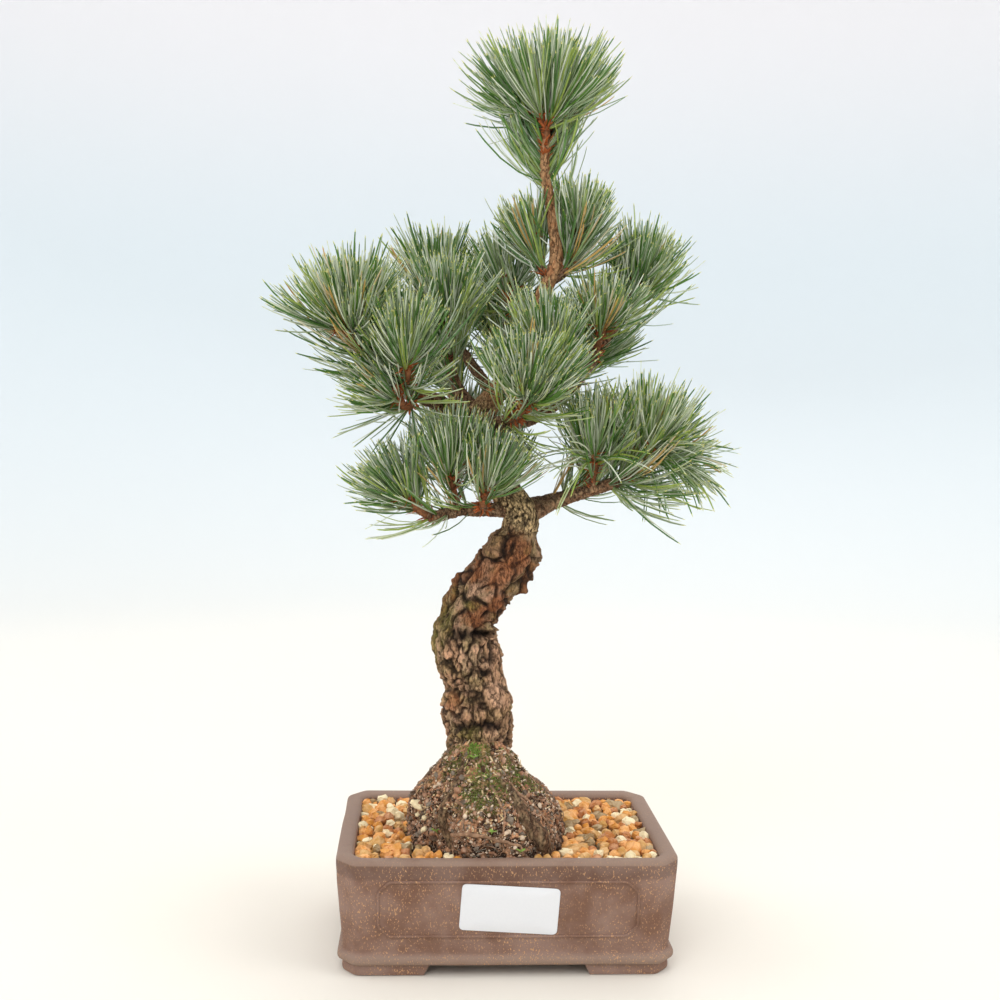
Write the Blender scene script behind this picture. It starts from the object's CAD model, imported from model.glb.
"""Small Japanese white pine bonsai in its pot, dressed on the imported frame.

Lengths in the functions are millimetres in the pot's own frame: the pot is centred, its feet
stand on z = 0 and its front faces -Y. add_piece() turns them into the frame's metres.
"""

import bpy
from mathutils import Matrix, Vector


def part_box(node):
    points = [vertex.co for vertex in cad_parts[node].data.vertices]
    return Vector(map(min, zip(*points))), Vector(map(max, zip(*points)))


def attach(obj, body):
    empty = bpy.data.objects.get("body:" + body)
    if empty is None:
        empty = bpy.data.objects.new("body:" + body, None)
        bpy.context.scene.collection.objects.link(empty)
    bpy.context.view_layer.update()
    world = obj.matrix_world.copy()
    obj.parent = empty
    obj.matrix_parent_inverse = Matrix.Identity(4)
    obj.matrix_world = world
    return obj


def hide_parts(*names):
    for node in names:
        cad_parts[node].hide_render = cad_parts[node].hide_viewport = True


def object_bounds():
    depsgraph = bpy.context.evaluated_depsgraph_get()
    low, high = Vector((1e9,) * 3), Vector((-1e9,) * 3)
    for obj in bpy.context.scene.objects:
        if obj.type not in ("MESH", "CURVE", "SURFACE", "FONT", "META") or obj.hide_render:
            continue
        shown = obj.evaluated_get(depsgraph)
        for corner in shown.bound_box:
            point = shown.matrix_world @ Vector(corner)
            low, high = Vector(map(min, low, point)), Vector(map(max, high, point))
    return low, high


bl_info = {
    "name": "White Pine Bonsai",
    "version": (1, 0, 0),
    "blender": (4, 5, 0),
    "location": "View3D > Sidebar > Bonsai",
    "description": "Bark, needles, pot, gravel and root mound of a small white pine bonsai",
    "category": "Add Mesh",
}

import bpy
import numpy as np
from mathutils import Matrix, Vector

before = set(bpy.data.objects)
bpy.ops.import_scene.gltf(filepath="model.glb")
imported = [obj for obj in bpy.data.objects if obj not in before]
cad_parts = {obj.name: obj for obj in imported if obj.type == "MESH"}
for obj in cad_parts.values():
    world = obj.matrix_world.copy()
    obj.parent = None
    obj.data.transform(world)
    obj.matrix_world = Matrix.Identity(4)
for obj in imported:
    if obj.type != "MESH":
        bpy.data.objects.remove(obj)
FRAME_BOX = np.array(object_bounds())

MM = 0.001
POT_LOW, POT_HIGH = (np.array(corner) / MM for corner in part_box("pot"))
SHIFT = np.array([*(0.5 * (POT_LOW + POT_HIGH))[:2], 0.0])

# Pot, as in the source
POT_HALF = np.array([77.5, 59.0])
POT_HEIGHT = 53.0
CORNER_CUT = np.array([8.5, 10.1])
WALL_TAPER = 3.6
RIM_WIDTH = 8.0
RIM_BAND = 4.0
FLOOR_TOP = 13.0
FOOT_HEIGHT = 5.0
FOOT_LENGTH = 36.0
BELT_TOP = 10.0
BELT_PROUD = 2.2
PANEL_MARGIN = 19.6
PANEL_HALF_HEIGHT = 12.7
PANEL_CLIP = 5.0
DRAIN_OFFSET = 38.0
DRAIN_RADIUS = 6.0
CORNER_ROUND = 2.2
LABEL_SIZE = np.array([43.8, 21.6])
LABEL_TILT = -3.4
LABEL_CENTRE = (0.5, 31.0)

# Filling
GRAVEL_TOP = 48.6
PEBBLE_SPACING = 4.6
PEBBLE_RISE = 3.2
GRAVEL_SEED = 11
GROUND = 50.0
MOUND_CENTRE = np.array([-12.6, -13.0])
MOUND_LOBES = ((0.123, 16.5), (0.063, -96.8), (0.023, 142.2))
MOUND_PROFILE = np.array(
    [[38, 44.8], [35, 64], [31.5, 71.5], [24, 79], [18.8, 85], [15.8, 90], [9.5, 96.5]]
)
MOUND_TOP = 97
MOUND_STATIONS = 150
MOUND_SIDES = 300
# Rows of compass degrees, height, depth of the middle line under the mound's skin, and radius.
# -90 is the front
SURFACE_ROOTS = (
    ((-62, 93, 5, 3), (-58, 80, 2.6, 3), (-55, 69, 0.9, 3.7), (-48, 59, 0.6, 4.4), (-38, 48, 3, 4)),
    ((-108, 93, 5, 2.6), (-118, 79, 1, 2.4), (-126, 66, 0.5, 2.5), (-120, 57, 1.2, 2.3),
     (-112, 48, 3.5, 1.8)),
    ((40, 93, 5, 2.8), (46, 79, 1.8, 2.8), (38, 64, 0.9, 2.8), (34, 48, 3, 2.4)),
    ((150, 93, 5, 2.8), (158, 78, 1.8, 2.8), (150, 63, 0.9, 2.6), (146, 48, 3, 2.2)),
)

# Trunk and boughs: rows of x, y, z and radius, as in the source
TRUNK_ROWS = (
    (-13, -12, 46, 22), (-12.5, -9, 75, 15.5), (-12.5, -7, 91, 13.6), (-12.6, -6, 110, 15.8),
    (-14.5, -6, 123, 13.9), (-17.5, -6, 135, 15.3), (-19.5, -6, 146, 14.5), (-17.8, -6, 156, 13.2),
    (-10.5, -6, 168, 13.6), (-1.5, -6, 179, 13), (3, -6, 188.5, 11.2), (5.2, -6, 196, 8.2),
    (6, -6, 203, 8), (-3, -4, 216, 7), (-10, 0, 231, 6.2), (-15, 2, 245, 7), (-4, 5, 264, 4.6),
    (10, 5, 289, 3.6), (15, 3, 307, 3.2), (21, 2, 323, 3.1), (19, 0, 345, 2.5), (15, 0, 364, 2.2),
    (15, 0, 380, 2),
)
BOUGH_ROWS = {
    "bough_low_left": (
        (4, -6, 205, 3.6), (-13, -9, 205.5, 3.1), (-24, -14, 205, 2.8), (-32, -17, 203, 2.5),
        (-36.5, -18.8, 202.4, 2.3), (-39, -20, 203.6, 2.1),
    ),
    "twig_low_left": ((-23, -13.6, 205, 2), (-24.6, -15, 208.6, 1.8), (-25.6, -16.6, 211.6, 1.6)),
    "twig_low_front": ((-11, -8.6, 205, 2), (-12, -15.5, 207, 1.8), (-13, -19.5, 208, 1.6)),
    "bough_low_right": (
        (5, -5, 199, 4), (22, -8, 209, 3), (34, -12, 214, 2.8), (46, -14, 218, 2.6),
        (55, -15, 222, 2.4), (59, -15, 226, 2.2),
    ),
    "twig_low_right": ((38, -12.8, 215, 2), (38.5, -14, 218, 1.8), (39, -15, 220.5, 1.6)),
    "bough_low_back": ((2, -5, 209, 3.4), (-2, 12, 213, 3), (-9, 26, 218, 2.5), (-15, 36, 223, 2)),
    "bough_low_back_right": (
        (4, -6, 206, 3.4), (19, 9, 209, 2.8), (31, 20, 212, 2.4), (38, 25, 215.5, 2),
    ),
    "bough_left": (
        (-14, 2, 246, 4.4), (-33, -6, 255, 3.6), (-46, -14, 260, 3), (-56, -18, 267, 2.6),
        (-64, -21, 274, 2.3), (-70, -22, 280, 2),
    ),
    "twig_left_low": ((-44, -12.8, 259, 2), (-46, -19, 256, 1.8), (-47, -23, 253, 1.6)),
    "twig_left_front": ((-51, -16, 263, 2), (-49.8, -22, 262.6, 1.8), (-48.8, -26.5, 263.6, 1.6)),
    "bough_middle": (
        (-13, 4, 250, 3.2), (-21, 7, 258, 2.8), (-27, 4, 268, 2.4), (-30, 0, 284, 1.9),
    ),
    "bough_front": (
        (-13, 2, 245, 3.4), (-9, -14, 246, 2.8), (-1, -26, 248, 2.4), (3.5, -33, 251.5, 2),
    ),
    "bough_right": (
        (-13, 2, 243, 4.6), (3, 7, 247, 4.2), (14, 10, 251, 3.8), (26, 12, 259, 3.4),
        (37, 14, 273, 3), (46, 15, 285, 2.6), (54, 18, 297, 2.2), (59.5, 20.5, 304, 1.9),
    ),
    "twig_right": ((42, 14.6, 279.5, 2), (42, 8, 280, 1.8), (42, 4, 283, 1.6)),
    "bough_inner_right": (
        (-2, 5, 267, 2.6), (6, -5, 263.5, 2.2), (12, -12, 264, 1.9), (15, -14.5, 267, 1.7),
    ),
    "bough_back_left": (
        (-15, 2, 248, 4), (-22, 18, 256, 3.2), (-30, 32, 264, 2.6), (-36, 42, 272, 2),
    ),
    "bough_back_left_high": (
        (-7, 4, 259, 3), (-18, 18, 275, 2.4), (-28, 28, 290, 2.1), (-32, 31, 301, 1.8),
    ),
    "bough_back": ((2, 5, 273, 3), (1, 20, 277, 2.6), (-1, 34, 281, 2.2), (-2, 42, 285, 1.9)),
    "bough_back_right": (
        (17, 10.6, 252.5, 3), (24, 24, 257, 2.7), (32, 36, 264, 2.3), (38, 43, 271, 2),
    ),
    "twig_high_back": ((11, 4.4, 292, 2.2), (7, 13, 297, 1.9), (2, 18, 302, 1.6)),
    "twig_high_right": (
        (18, 2.6, 314, 2.4), (23.5, 2.4, 317, 2.1), (26.5, 2.3, 320.5, 1.9), (28, 2, 324.5, 1.7),
    ),
    "twig_high_left": ((19, 2, 316.5, 2.2), (15.5, 3.4, 318.5, 1.8), (13.2, 4.6, 322.5, 1.6)),
}

# How a tuft grows: the share of straight up in its middle direction, how wide it spreads, how
# long its needles are and how many, as shares, and the share of stragglers
USUAL_TUFT = (0.45, 1.0, 1.0, 1.0, 0.04)
# Masses of needles: the limb that carries each, its aim, shoots, reach, droop and tuft
MASSES = {
    "needles_apex": ("trunk", (-0.02, -0.05, 1), 3, 1.1, 0, (0.6, 0.86, 0.98, 1.0, 0.05)),
    "needles_high_right": ("twig_high_right", (0.3, -0.1, 1), 1, 0.95, 0,
        (0.85, 0.56, 0.8, 0.8, 0.04)),
    "needles_high_left": ("twig_high_left", (-0.4, 0.1, 1), 1, 0.9, 0, (1.0, 0.36, 0.7, 0.4, 0.03)),
    "needles_high_back": ("twig_high_back", (-0.35, 0.5, 1), 1, 0.95, 0,
        (0.6, 0.8, 0.95, 0.9, 0.04)),
    "needles_right": ("bough_right", (0.3, -0.1, 1), 1, 1, 0, (0.42, 0.95, 0.88, 1.0, 0.06)),
    "needles_inner_right": ("twig_right", (0.2, -0.5, 0.8), 1, 0.95, 0,
        (0.6, 0.9, 0.78, 0.8, 0.06)),
    "needles_front": ("bough_front", (-0.08, -0.45, 1), 2, 1, 0, (0.5, 1.05, 0.82, 1.0, 0.04)),
    "needles_centre": ("bough_inner_right", (0.1, -0.4, 1), 1, 1, 0, (0.5, 1.0, 0.86, 0.9, 0.04)),
    "needles_middle": ("bough_middle", (0.05, -0.3, 1), 1, 1, 0, (0.5, 0.95, 0.84, 1.0, 0.04)),
    "needles_far_left": ("bough_left", (-0.5, -0.15, 1), 2, 1, 0, (0.3, 1.0, 0.95, 1.0, 0.08)),
    "needles_left_front": ("twig_left_front", (-0.05, -0.5, 1), 1, 1, 0, USUAL_TUFT),
    "needles_left_low": ("twig_left_low", (-0.7, -0.5, 0.7), 1, 1, 0, (0.0, 1.1, 0.76, 1.0, 0.16)),
    "needles_low_far_left": ("bough_low_left", (-0.75, -0.1, 0.8), 1, 1.05, 0,
        (0.1, 1.0, 0.76, 1.0, 0.14)),
    "needles_low_left": ("twig_low_left", (-0.1, -0.35, 1), 1, 1, 0, USUAL_TUFT),
    "needles_low_front": ("twig_low_front", (0.35, -0.35, 1), 1, 0.85, 0, USUAL_TUFT),
    "needles_low_inner_right": ("twig_low_right", (0, -0.3, 1), 1, 1.05, 0.35,
        (0.62, 1.0, 0.93, 1.0, 0.08)),
    "needles_low_right": ("bough_low_right", (0.5, -0.15, 1), 2, 1.08, 0.3,
        (0.55, 1.0, 0.84, 0.9, 0.12)),
    "needles_low_back": ("bough_low_back", (-0.35, 0.6, 1), 1, 1, 0, USUAL_TUFT),
    "needles_low_back_right": ("bough_low_back_right", (0.4, 0.5, 1), 1, 1, 0,
        (0.75, 0.8, 0.76, 0.6, 0.04)),
    "needles_back_left": ("bough_back_left", (-0.4, 0.4, 1), 2, 1, 0, USUAL_TUFT),
    "needles_back_left_high": ("bough_back_left_high", (-0.15, 0.2, 1), 1, 1.02, 0,
        (0.5, 0.9, 0.84, 0.9, 0.04)),
    "needles_back": ("bough_back", (-0.05, 0.5, 1), 1, 1, 0, USUAL_TUFT),
    "needles_back_right": ("bough_back_right", (0.35, 0.4, 1), 2, 1, 0,
        (0.7, 0.8, 0.78, 0.8, 0.04)),
}
# Limbs thick with older needles: bundles to a millimetre, how far they lean, the stretch
THICKER_BUNDLES = {
    "bough_left": (1.5, 1.1, 26.0), "twig_left_front": (2.6, 1.1, 5.0),
    "twig_left_low": (2.0, 1.1, 5.0), "twig_high_left": (5.0, 0.75, 5.0),
    "twig_high_right": (3.6, 0.85, 10.0), "bough_right": (1.3, 1.15, 22.0),
    "bough_middle": (1.2, 0.9, 30.0), "bough_back_left": (1.1, 0.9, 34.0),
    "bough_front": (1.0, 1.1, 16.0),
}
USUAL_BUNDLES = (0.7, 1.0, 24.0)
# Where more of them stand: limb, bundles to a millimetre, how far they lean, where they start and
# end as lengths back from its tip, the seed, and which way they are drawn
MORE_BUNDLES = (
    ("trunk", 3.0, 0.6, 76, 12, 90, (0, 0, 0.35)), ("trunk", 5.0, 1.12, 24, 2, 91, (0, 0, 0.35)),
    ("bough_low_right", 1.6, 2.0, 16, 0, 92, (0.75, -0.1, -0.05)),
)
STEM_LENGTH = 5.0
SHOOT_LENGTH = 8.0
SHOOT_SPREAD = 0.55
NEEDLE_LENGTH = 38.0
FULL_REACH = 1.042
FIRST_SEED = 300
SEED_STEP = 17
GOLDEN_ANGLE = 2.399963
# Seeds of each group's random draws, and what each kind of draw adds to its shoot's own seed
GRAVEL_DRAWS, GRIT_DRAWS, MOSS_DRAWS = 11, 23, 29
ROOTLET_DRAWS, LITTER_DRAWS, OLDER_DRAWS = 31, 37, 41
SCALE_DRAWS, BUNDLE_DRAWS, NEEDLE_DRAWS = 5, 9, 13
TOWARD_VIEWER = np.array([0.0, -1.0, 0.0])


def srgb(red, green, blue):
    """A colour of 0 to 255 as seen on a screen, as the linear numbers that shaders take."""
    screen = np.array([red, green, blue]) / 255
    low = screen / 12.92
    high = ((screen + 0.055) / 1.055) ** 2.4
    return tuple(np.where(screen <= 0.04045, low, high).tolist())


# Settings


def colour_setting(name, description, *screen):
    return bpy.props.FloatVectorProperty(
        name=name, description=description, default=srgb(*screen), size=3, min=0, max=1,
        subtype="COLOR",
    )


def number_setting(name, description, default, **kind):
    return bpy.props.FloatProperty(
        name=name, description=description, default=default, min=0, **kind
    )


def length_setting(*what):
    return number_setting(*what, precision=5, unit="LENGTH")


def power_setting(*what):
    return number_setting(*what, unit="POWER")


def share_setting(*what):
    return number_setting(*what, max=1, subtype="FACTOR")


class BonsaiPotSettings(bpy.types.PropertyGroup):
    """Sizes and colours of the pot and its label"""

    edge_round: length_setting("Edge round", "Reach of the soft round on each edge", 0.0016)
    bead_radius: length_setting("Panel line", "Radius of the raised line round a panel", 0.0007)
    unevenness: length_setting("Unevenness", "How far the pressed clay strays from true", 0.00025)
    clay: colour_setting("Clay", "Unglazed stoneware", 126, 90, 71)
    worn_clay: colour_setting("Worn clay", "Rim, belt and edges", 144, 120, 105)
    fleck: colour_setting("Fleck", "Grains of gold sand in the clay", 200, 152, 108)
    label: colour_setting("Label", "Blank paper label", 228, 229, 232)


class BonsaiGroundSettings(bpy.types.PropertyGroup):
    """Sizes and colours of the gravel, soil and root mound"""

    pebble_size: length_setting("Pebble size", "Width of a middling pebble", 0.0058)
    ochre: colour_setting("Ochre pebbles", "Most of the gravel", 242, 164, 70)
    tan: colour_setting("Tan pebbles", "Browner stones", 220, 164, 86)
    rust: colour_setting("Rust pebbles", "Deeper orange stones", 196, 118, 50)
    cream: colour_setting("Cream pebbles", "Pale stones", 255, 236, 190)
    grey: colour_setting("Grey pebbles", "Olive grey stones", 164, 134, 88)
    soil: colour_setting("Soil", "Damp soil of the mound", 58, 38, 27)
    soil_dry: colour_setting("Dry soil", "Raised crumbs of the mound", 200, 150, 114)
    grit_pale: colour_setting("Pale grit", "Pumice in the soil", 232, 206, 178)
    grit_brown: colour_setting("Brown grit", "Bark and clay in the soil", 166, 112, 80)
    moss: colour_setting("Moss", "Cushions on the mound", 116, 118, 64)
    moss_bright: colour_setting("Fresh moss", "Tips and seedlings", 134, 168, 72)
    root: colour_setting("Rootlets", "Thin roots on the mound", 176, 138, 108)


class BonsaiBarkSettings(bpy.types.PropertyGroup):
    """Sizes and colours of the bark"""

    plate_size: length_setting("Plate size", "Width of the plates of old bark", 0.0085)
    crack_depth: length_setting("Crack depth", "Depth of the cracks in old bark", 0.0016)
    ridge: colour_setting("Ridges", "Grey-brown old bark", 176, 146, 114)
    peeled: colour_setting("Peeled bark", "Red-brown inner bark", 162, 100, 62)
    pale: colour_setting("Pale bark", "Pinkish new bark", 196, 156, 126)
    crack: colour_setting("Cracks", "Dark cracks", 32, 20, 14)
    moss: colour_setting("Green film", "Algae and moss on the bark", 128, 120, 60)
    neck: colour_setting("Neck", "Tan-grey scaly bark", 212, 182, 136)
    leader: colour_setting("Leader", "Tan bark of the leader", 188, 144, 104)
    bough: colour_setting("Boughs", "Brown bark of the boughs", 144, 112, 86)


class BonsaiNeedleSettings(bpy.types.PropertyGroup):
    """Sizes and colours of the shoots and needles"""

    bundles: bpy.props.IntProperty(
        name="Bundles", description="Bundles of five needles on one shoot", default=90, min=5
    )
    width: length_setting("Needle width", "Width of one needle", 0.00078)
    curl: share_setting("Curl", "How far the outer needles bend upward", 0.8)
    inner: colour_setting("Inner faces", "Blue-white bands", 232, 236, 216)
    tip: colour_setting("Tips", "Pale yellow points", 206, 204, 120)
    scale: colour_setting("Bud scales", "Rust-orange papery scales", 176, 94, 50)
    shoot: colour_setting("Shoots", "Bark of this year's shoots", 150, 98, 64)


class BonsaiStageSettings(bpy.types.PropertyGroup):
    """Light and floor of the studio"""

    floor: colour_setting("Floor", "Plain pale floor", 234, 228, 217)
    wall: colour_setting("Backdrop", "Plain pale backdrop", 229, 238, 242)
    key: power_setting("Key light", "Strength of the large front lamp", 11.6)
    wash: power_setting("Wash", "Strength of each lamp on the backdrop", 1.5)
    sky: share_setting("Surround", "Strength of the light from all round", 0.4)
    haze: colour_setting("Haze", "Backdrop behind the top of the tree", 248, 245, 246)


SETTINGS = {
    "bonsai_pot": BonsaiPotSettings,
    "bonsai_ground": BonsaiGroundSettings,
    "bonsai_bark": BonsaiBarkSettings,
    "bonsai_needles": BonsaiNeedleSettings,
    "bonsai_stage": BonsaiStageSettings,
}


# Vectors and noise


def unit(vectors):
    """Vectors divided by their lengths."""
    return vectors / np.linalg.norm(vectors, axis=-1, keepdims=True)


def turned(vectors, axis, angle):
    """Vectors turned about a unit axis: v cos a + (axis x v) sin a + axis (axis . v)(1 - cos a)."""
    angle = np.asarray(angle, float)[..., None]
    along = np.sum(vectors * axis, axis=-1, keepdims=True) * axis
    return vectors * np.cos(angle) + np.cross(axis, vectors) * np.sin(angle) + along * (
        1 - np.cos(angle)
    )


def leaning(axis, lean, turn):
    """Directions at an angle `lean` from an axis, turned round it by `turn`, as in the source."""
    axis = np.asarray(axis, float)
    side = unit(np.cross(axis, (0.21, 0.34, 0.91)))
    first = turned(axis, side, lean)
    return unit(turned(first, axis, turn))


def square_to(axis, vectors):
    """What is left of vectors beside a unit axis, v - axis (axis . v), divided by its length."""
    return unit(vectors - axis * np.sum(vectors * axis, -1, keepdims=True))


def least_along(direction):
    """The one of x, y and z that lies least along a direction."""
    return np.eye(3)[int(np.argmin(np.abs(direction)))]


def full_turn(count):
    """Angles spaced evenly all the way round."""
    return 2 * np.pi * np.arange(count) / count


def round_about(first, second, angle):
    """Directions round each point of a path: first cos a + second sin a."""
    return first[:, None] * np.cos(angle)[..., None] + second[:, None] * np.sin(angle)[..., None]


def outward(angle, rise):
    """Directions out at compass angles, which climb by `rise` for each step out."""
    return np.stack([np.cos(angle), np.sin(angle), rise + 0 * angle], -1)


def smoothstep(low, high, value):
    """0 below low, 1 above high, and 3t^2 - 2t^3 between."""
    t = np.clip((value - low) / (high - low), 0, 1)
    return t * t * (3 - 2 * t)


def blend(first, second, share):
    """first where share is 0, second where it is 1, for arrays of colours."""
    share = np.asarray(share)[..., None]
    return np.asarray(first) * (1 - share) + np.asarray(second) * share


def lattice(cells, seed):
    """A number of 0 to 1 for each whole-number cell: its indices times large odd numbers, mixed
    by shifts and exclusive or."""
    c = cells.astype(np.int64)
    mixed = c[..., 0] * 374761393 + c[..., 1] * 668265263 + c[..., 2] * 2246822519
    mixed = (mixed + seed * 3266489917) & 0xFFFFFFFF
    mixed = ((mixed ^ (mixed >> 13)) * 1274126177) & 0xFFFFFFFF
    mixed = ((mixed ^ (mixed >> 16)) * 668265263) & 0xFFFFFFFF
    return ((mixed ^ (mixed >> 15)) & 0xFFFFFF) / float(0x1000000)


def smooth_noise(points, seed):
    """Noise of -1 to 1: the eight corners' numbers, blended by 6t^5 - 15t^4 + 10t^3."""
    low = np.floor(points)
    t = points - low
    t = t * t * t * (t * (t * 6 - 15) + 10)
    total = 0
    for corner in np.ndindex(2, 2, 2):
        weight = np.prod(np.where(np.array(corner, bool), t, 1 - t), axis=-1)
        total = total + weight * lattice(low + corner, seed)
    return 2 * total - 1


def fractal(points, octaves, seed):
    """Octaves of noise, each twice as fine and half as strong as the one before."""
    return sum(0.5**k * smooth_noise(points * 2**k, seed + k) for k in range(octaves))


def three_noises(points, apart, seed):
    """A noise for each axis, read `apart` away from one another."""
    return np.stack([smooth_noise(points + apart * k, seed + k) for k in range(3)], -1)


def cells_at(points, seed):
    """Scattered cells, one centre in each unit cube: how far each point is inside its cell from
    the border, the cell's own number of 0 to 1, and where the point lies in it along z."""
    low = np.floor(points)
    near = np.full(points.shape[:-1], 9.0)
    second = near.copy()
    tone = np.zeros_like(near)
    rise = np.zeros_like(near)
    for corner in np.ndindex(3, 3, 3):
        cell = low + corner - 1
        centre = cell + np.stack([lattice(cell, seed + k) for k in range(3)], -1)
        gap = points - centre
        far = np.linalg.norm(gap, axis=-1)
        closer = far < near
        second = np.where(closer, near, np.minimum(second, far))
        tone = np.where(closer, lattice(cell, seed + 3), tone)
        rise = np.where(closer, gap[..., 2], rise)
        near = np.where(closer, far, near)
    return second - near, tone, rise


def seeded_numbers(seed):
    """The source's seeded rule: a 32-bit state steps by a constant and is mixed by shifts."""
    full = 0xFFFFFFFF
    state = seed & full
    while True:
        state = (state + 0x6D2B79F5) & full
        mixed = ((state ^ (state >> 15)) * (1 | state)) & full
        mixed = (mixed + (((mixed ^ (mixed >> 7)) * (61 | mixed)) & full)) & full ^ mixed
        yield ((mixed ^ (mixed >> 14)) & full) / 4294967296


# Surfaces


def ring_faces(paths, stations, sides):
    """Quads between neighbouring rings, and triangles from each end ring to its pole. Each
    path's points are its start pole, its rings in order, and its end pole."""
    size = 2 + stations * sides
    start = size * np.arange(paths)[:, None, None]
    ring = start + 1 + sides * np.arange(stations - 1)[None, :, None]
    j = np.arange(sides)[None, None, :]
    k = (j + 1) % sides
    quads = np.stack([ring + j, ring + k, ring + sides + k, ring + sides + j], -1)
    start, j, k = start[:, 0], j[0], k[0]
    first = start + 1
    last = first + (stations - 1) * sides
    low = np.stack([start + 0 * j, first + k, first + j], -1)
    high = np.stack([start + size - 1 + 0 * j, last + j, last + k], -1)
    return quads.reshape(-1, 4), np.concatenate([low, high], axis=1).reshape(-1, 3)


def with_poles(rings, start, end):
    """Points of every path in the order of ring_faces, from rings (paths, stations, sides, 3)."""
    paths = len(rings)
    flat = rings.reshape(paths, -1, 3)
    return np.concatenate([start[:, None], flat, end[:, None]], axis=1).reshape(-1, 3)


def skin(rings, low, high):
    """One closed skin: a stack of rings (stations, sides, 3) with a pole at each end."""
    points = with_poles(rings[None], np.array([low]), np.array([high]))
    return points, list(ring_faces(1, *rings.shape[:2]))


def with_ends(colours):
    """Colours for a skin's points: its poles take those of the rings beside them."""
    flat = colours.reshape(-1, 3)
    return np.concatenate([flat[:1], flat, flat[-1:]])


def grid_faces(rows, columns, looped):
    """Quads of a grid that closes round its columns, and where it is looped, round its rows."""
    i, j = np.meshgrid(np.arange(rows if looped else rows - 1), np.arange(columns), indexing="ij")
    low, high, k = i * columns, (i + 1) % rows * columns, (j + 1) % columns
    return np.stack([low + j, low + k, high + k, high + j], -1).reshape(-1, 4)


def round_section(sides, flatness=1.0):
    """A circle of radius 1, or an ellipse `flatness` high, as (across, out) pairs."""
    turn = full_turn(sides)
    return np.stack([np.cos(turn), flatness * np.sin(turn)], -1)


def tubes(centres, radii, section, facing, end=None):
    """Closed tubes along many paths at once. Rings of the section, scaled by each station's
    radius, stand square to the path, with their `out` side turned to `facing`."""
    tangents = unit(np.gradient(centres, axis=1))
    facing = np.broadcast_to(facing, (len(centres), 3))[:, None, :]
    out = square_to(tangents, facing)
    across = np.cross(out, tangents)
    ring = section[:, :1] * across[:, :, None] + section[:, 1:] * out[:, :, None]
    rings = centres[:, :, None] + radii[..., None, None] * ring
    points = with_poles(rings, centres[:, 0], centres[:, -1] if end is None else end)
    return points, list(ring_faces(len(centres), centres.shape[1], len(section)))


def blade_lines(roots, ways, length, steps, girths, spread, rng, bend=0.0):
    """Middle lines, radii and points of short blades, by root + L (way s + bend s^2) for each
    step s and on to s = 1. Each blade is thicker or thinner than its girths by up to a share."""
    s = np.array(steps)[None, :, None]
    bent = np.broadcast_to(bend, roots.shape)
    centres = roots[:, None] + length[:, None] * (ways[:, None] * s + bent[:, None] * s**2)
    radii = np.array([girths]) * rng.uniform(1 - spread, 1 + spread, (len(roots), 1))
    return centres, radii, roots + length * (ways + bent)


def joined(shapes):
    """Several (points, faces) as one."""
    points, faces, count = [], [], 0
    for shape_points, shape_faces in shapes:
        points.append(shape_points)
        faces.extend(part + count for part in shape_faces)
        count += len(shape_points)
    return np.concatenate(points), faces


def balls(centres, sizes, rng, stations=4, sides=7, lumps=0.2, block=0.85, level=1.0):
    """Pebbles: balls of a few rings, each coordinate of the unit ball raised to the power
    `block`, which squares them off, swollen by noise, scaled on three axes and turned. `level`
    is how far they may lie askew: 0 keeps their third axis upright, and 1 turns them any way."""
    count = len(centres)
    latitude = np.pi * (np.arange(stations) + 1) / (stations + 1) - np.pi / 2
    turn = 2 * np.pi * (np.arange(sides)[None] + 0.5 * (np.arange(stations)[:, None] % 2)) / sides
    girth = np.cos(latitude)[:, None]
    height = np.sin(latitude)[:, None] + 0 * turn
    rings = np.stack([girth * np.cos(turn), girth * np.sin(turn), height], -1)
    rings = rings.reshape(-1, 3)
    ball = np.concatenate([[[0, 0, -1.0]], rings, [[0, 0, 1.0]]])
    ball = np.sign(ball) * np.abs(ball) ** block
    shapes = np.broadcast_to(ball, (count, *ball.shape))
    swell = smooth_noise(shapes * 1.15 + 40 * rng.random((count, 1, 3)), 7)
    shapes = shapes * (1 + lumps * swell[..., None]) * sizes[:, None, :]
    third = unit(rng.normal(size=(count, 3)) * level + np.array([0, 0, 1.2 * (1 - level)]))
    first = unit(np.cross(rng.normal(size=(count, 3)), third))
    frames = np.stack([first, np.cross(third, first), third], -1)
    points = centres[:, None] + np.einsum("nij,npj->npi", frames, shapes)
    return points.reshape(-1, 3), list(ring_faces(count, stations, sides))


def rounded(corners, reach, steps, closed=True):
    """A polyline, or many at once along the first axes, with each corner replaced by the
    quadratic curve (1-t)^2 a + 2t(1-t) corner + t^2 b between points `reach` away from it."""
    before, after = np.roll(corners, 1, axis=-2), np.roll(corners, -1, axis=-2)

    def towards(other):
        gap = other - corners
        length = np.maximum(np.linalg.norm(gap, axis=-1, keepdims=True), 1e-9)
        return corners + gap * np.minimum(reach / length, 0.5)

    t = np.linspace(0, 1, steps)[:, None]
    a, b = towards(before)[..., None, :], towards(after)[..., None, :]
    middle = corners[..., None, :]
    arcs = (1 - t) ** 2 * a + 2 * t * (1 - t) * middle + t**2 * b
    if not closed:
        arcs[..., 0, :, :] = corners[..., 0, None, :]
        arcs[..., -1, :, :] = corners[..., -1, None, :]
    return arcs.reshape(*corners.shape[:-2], -1, corners.shape[-1])


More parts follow.
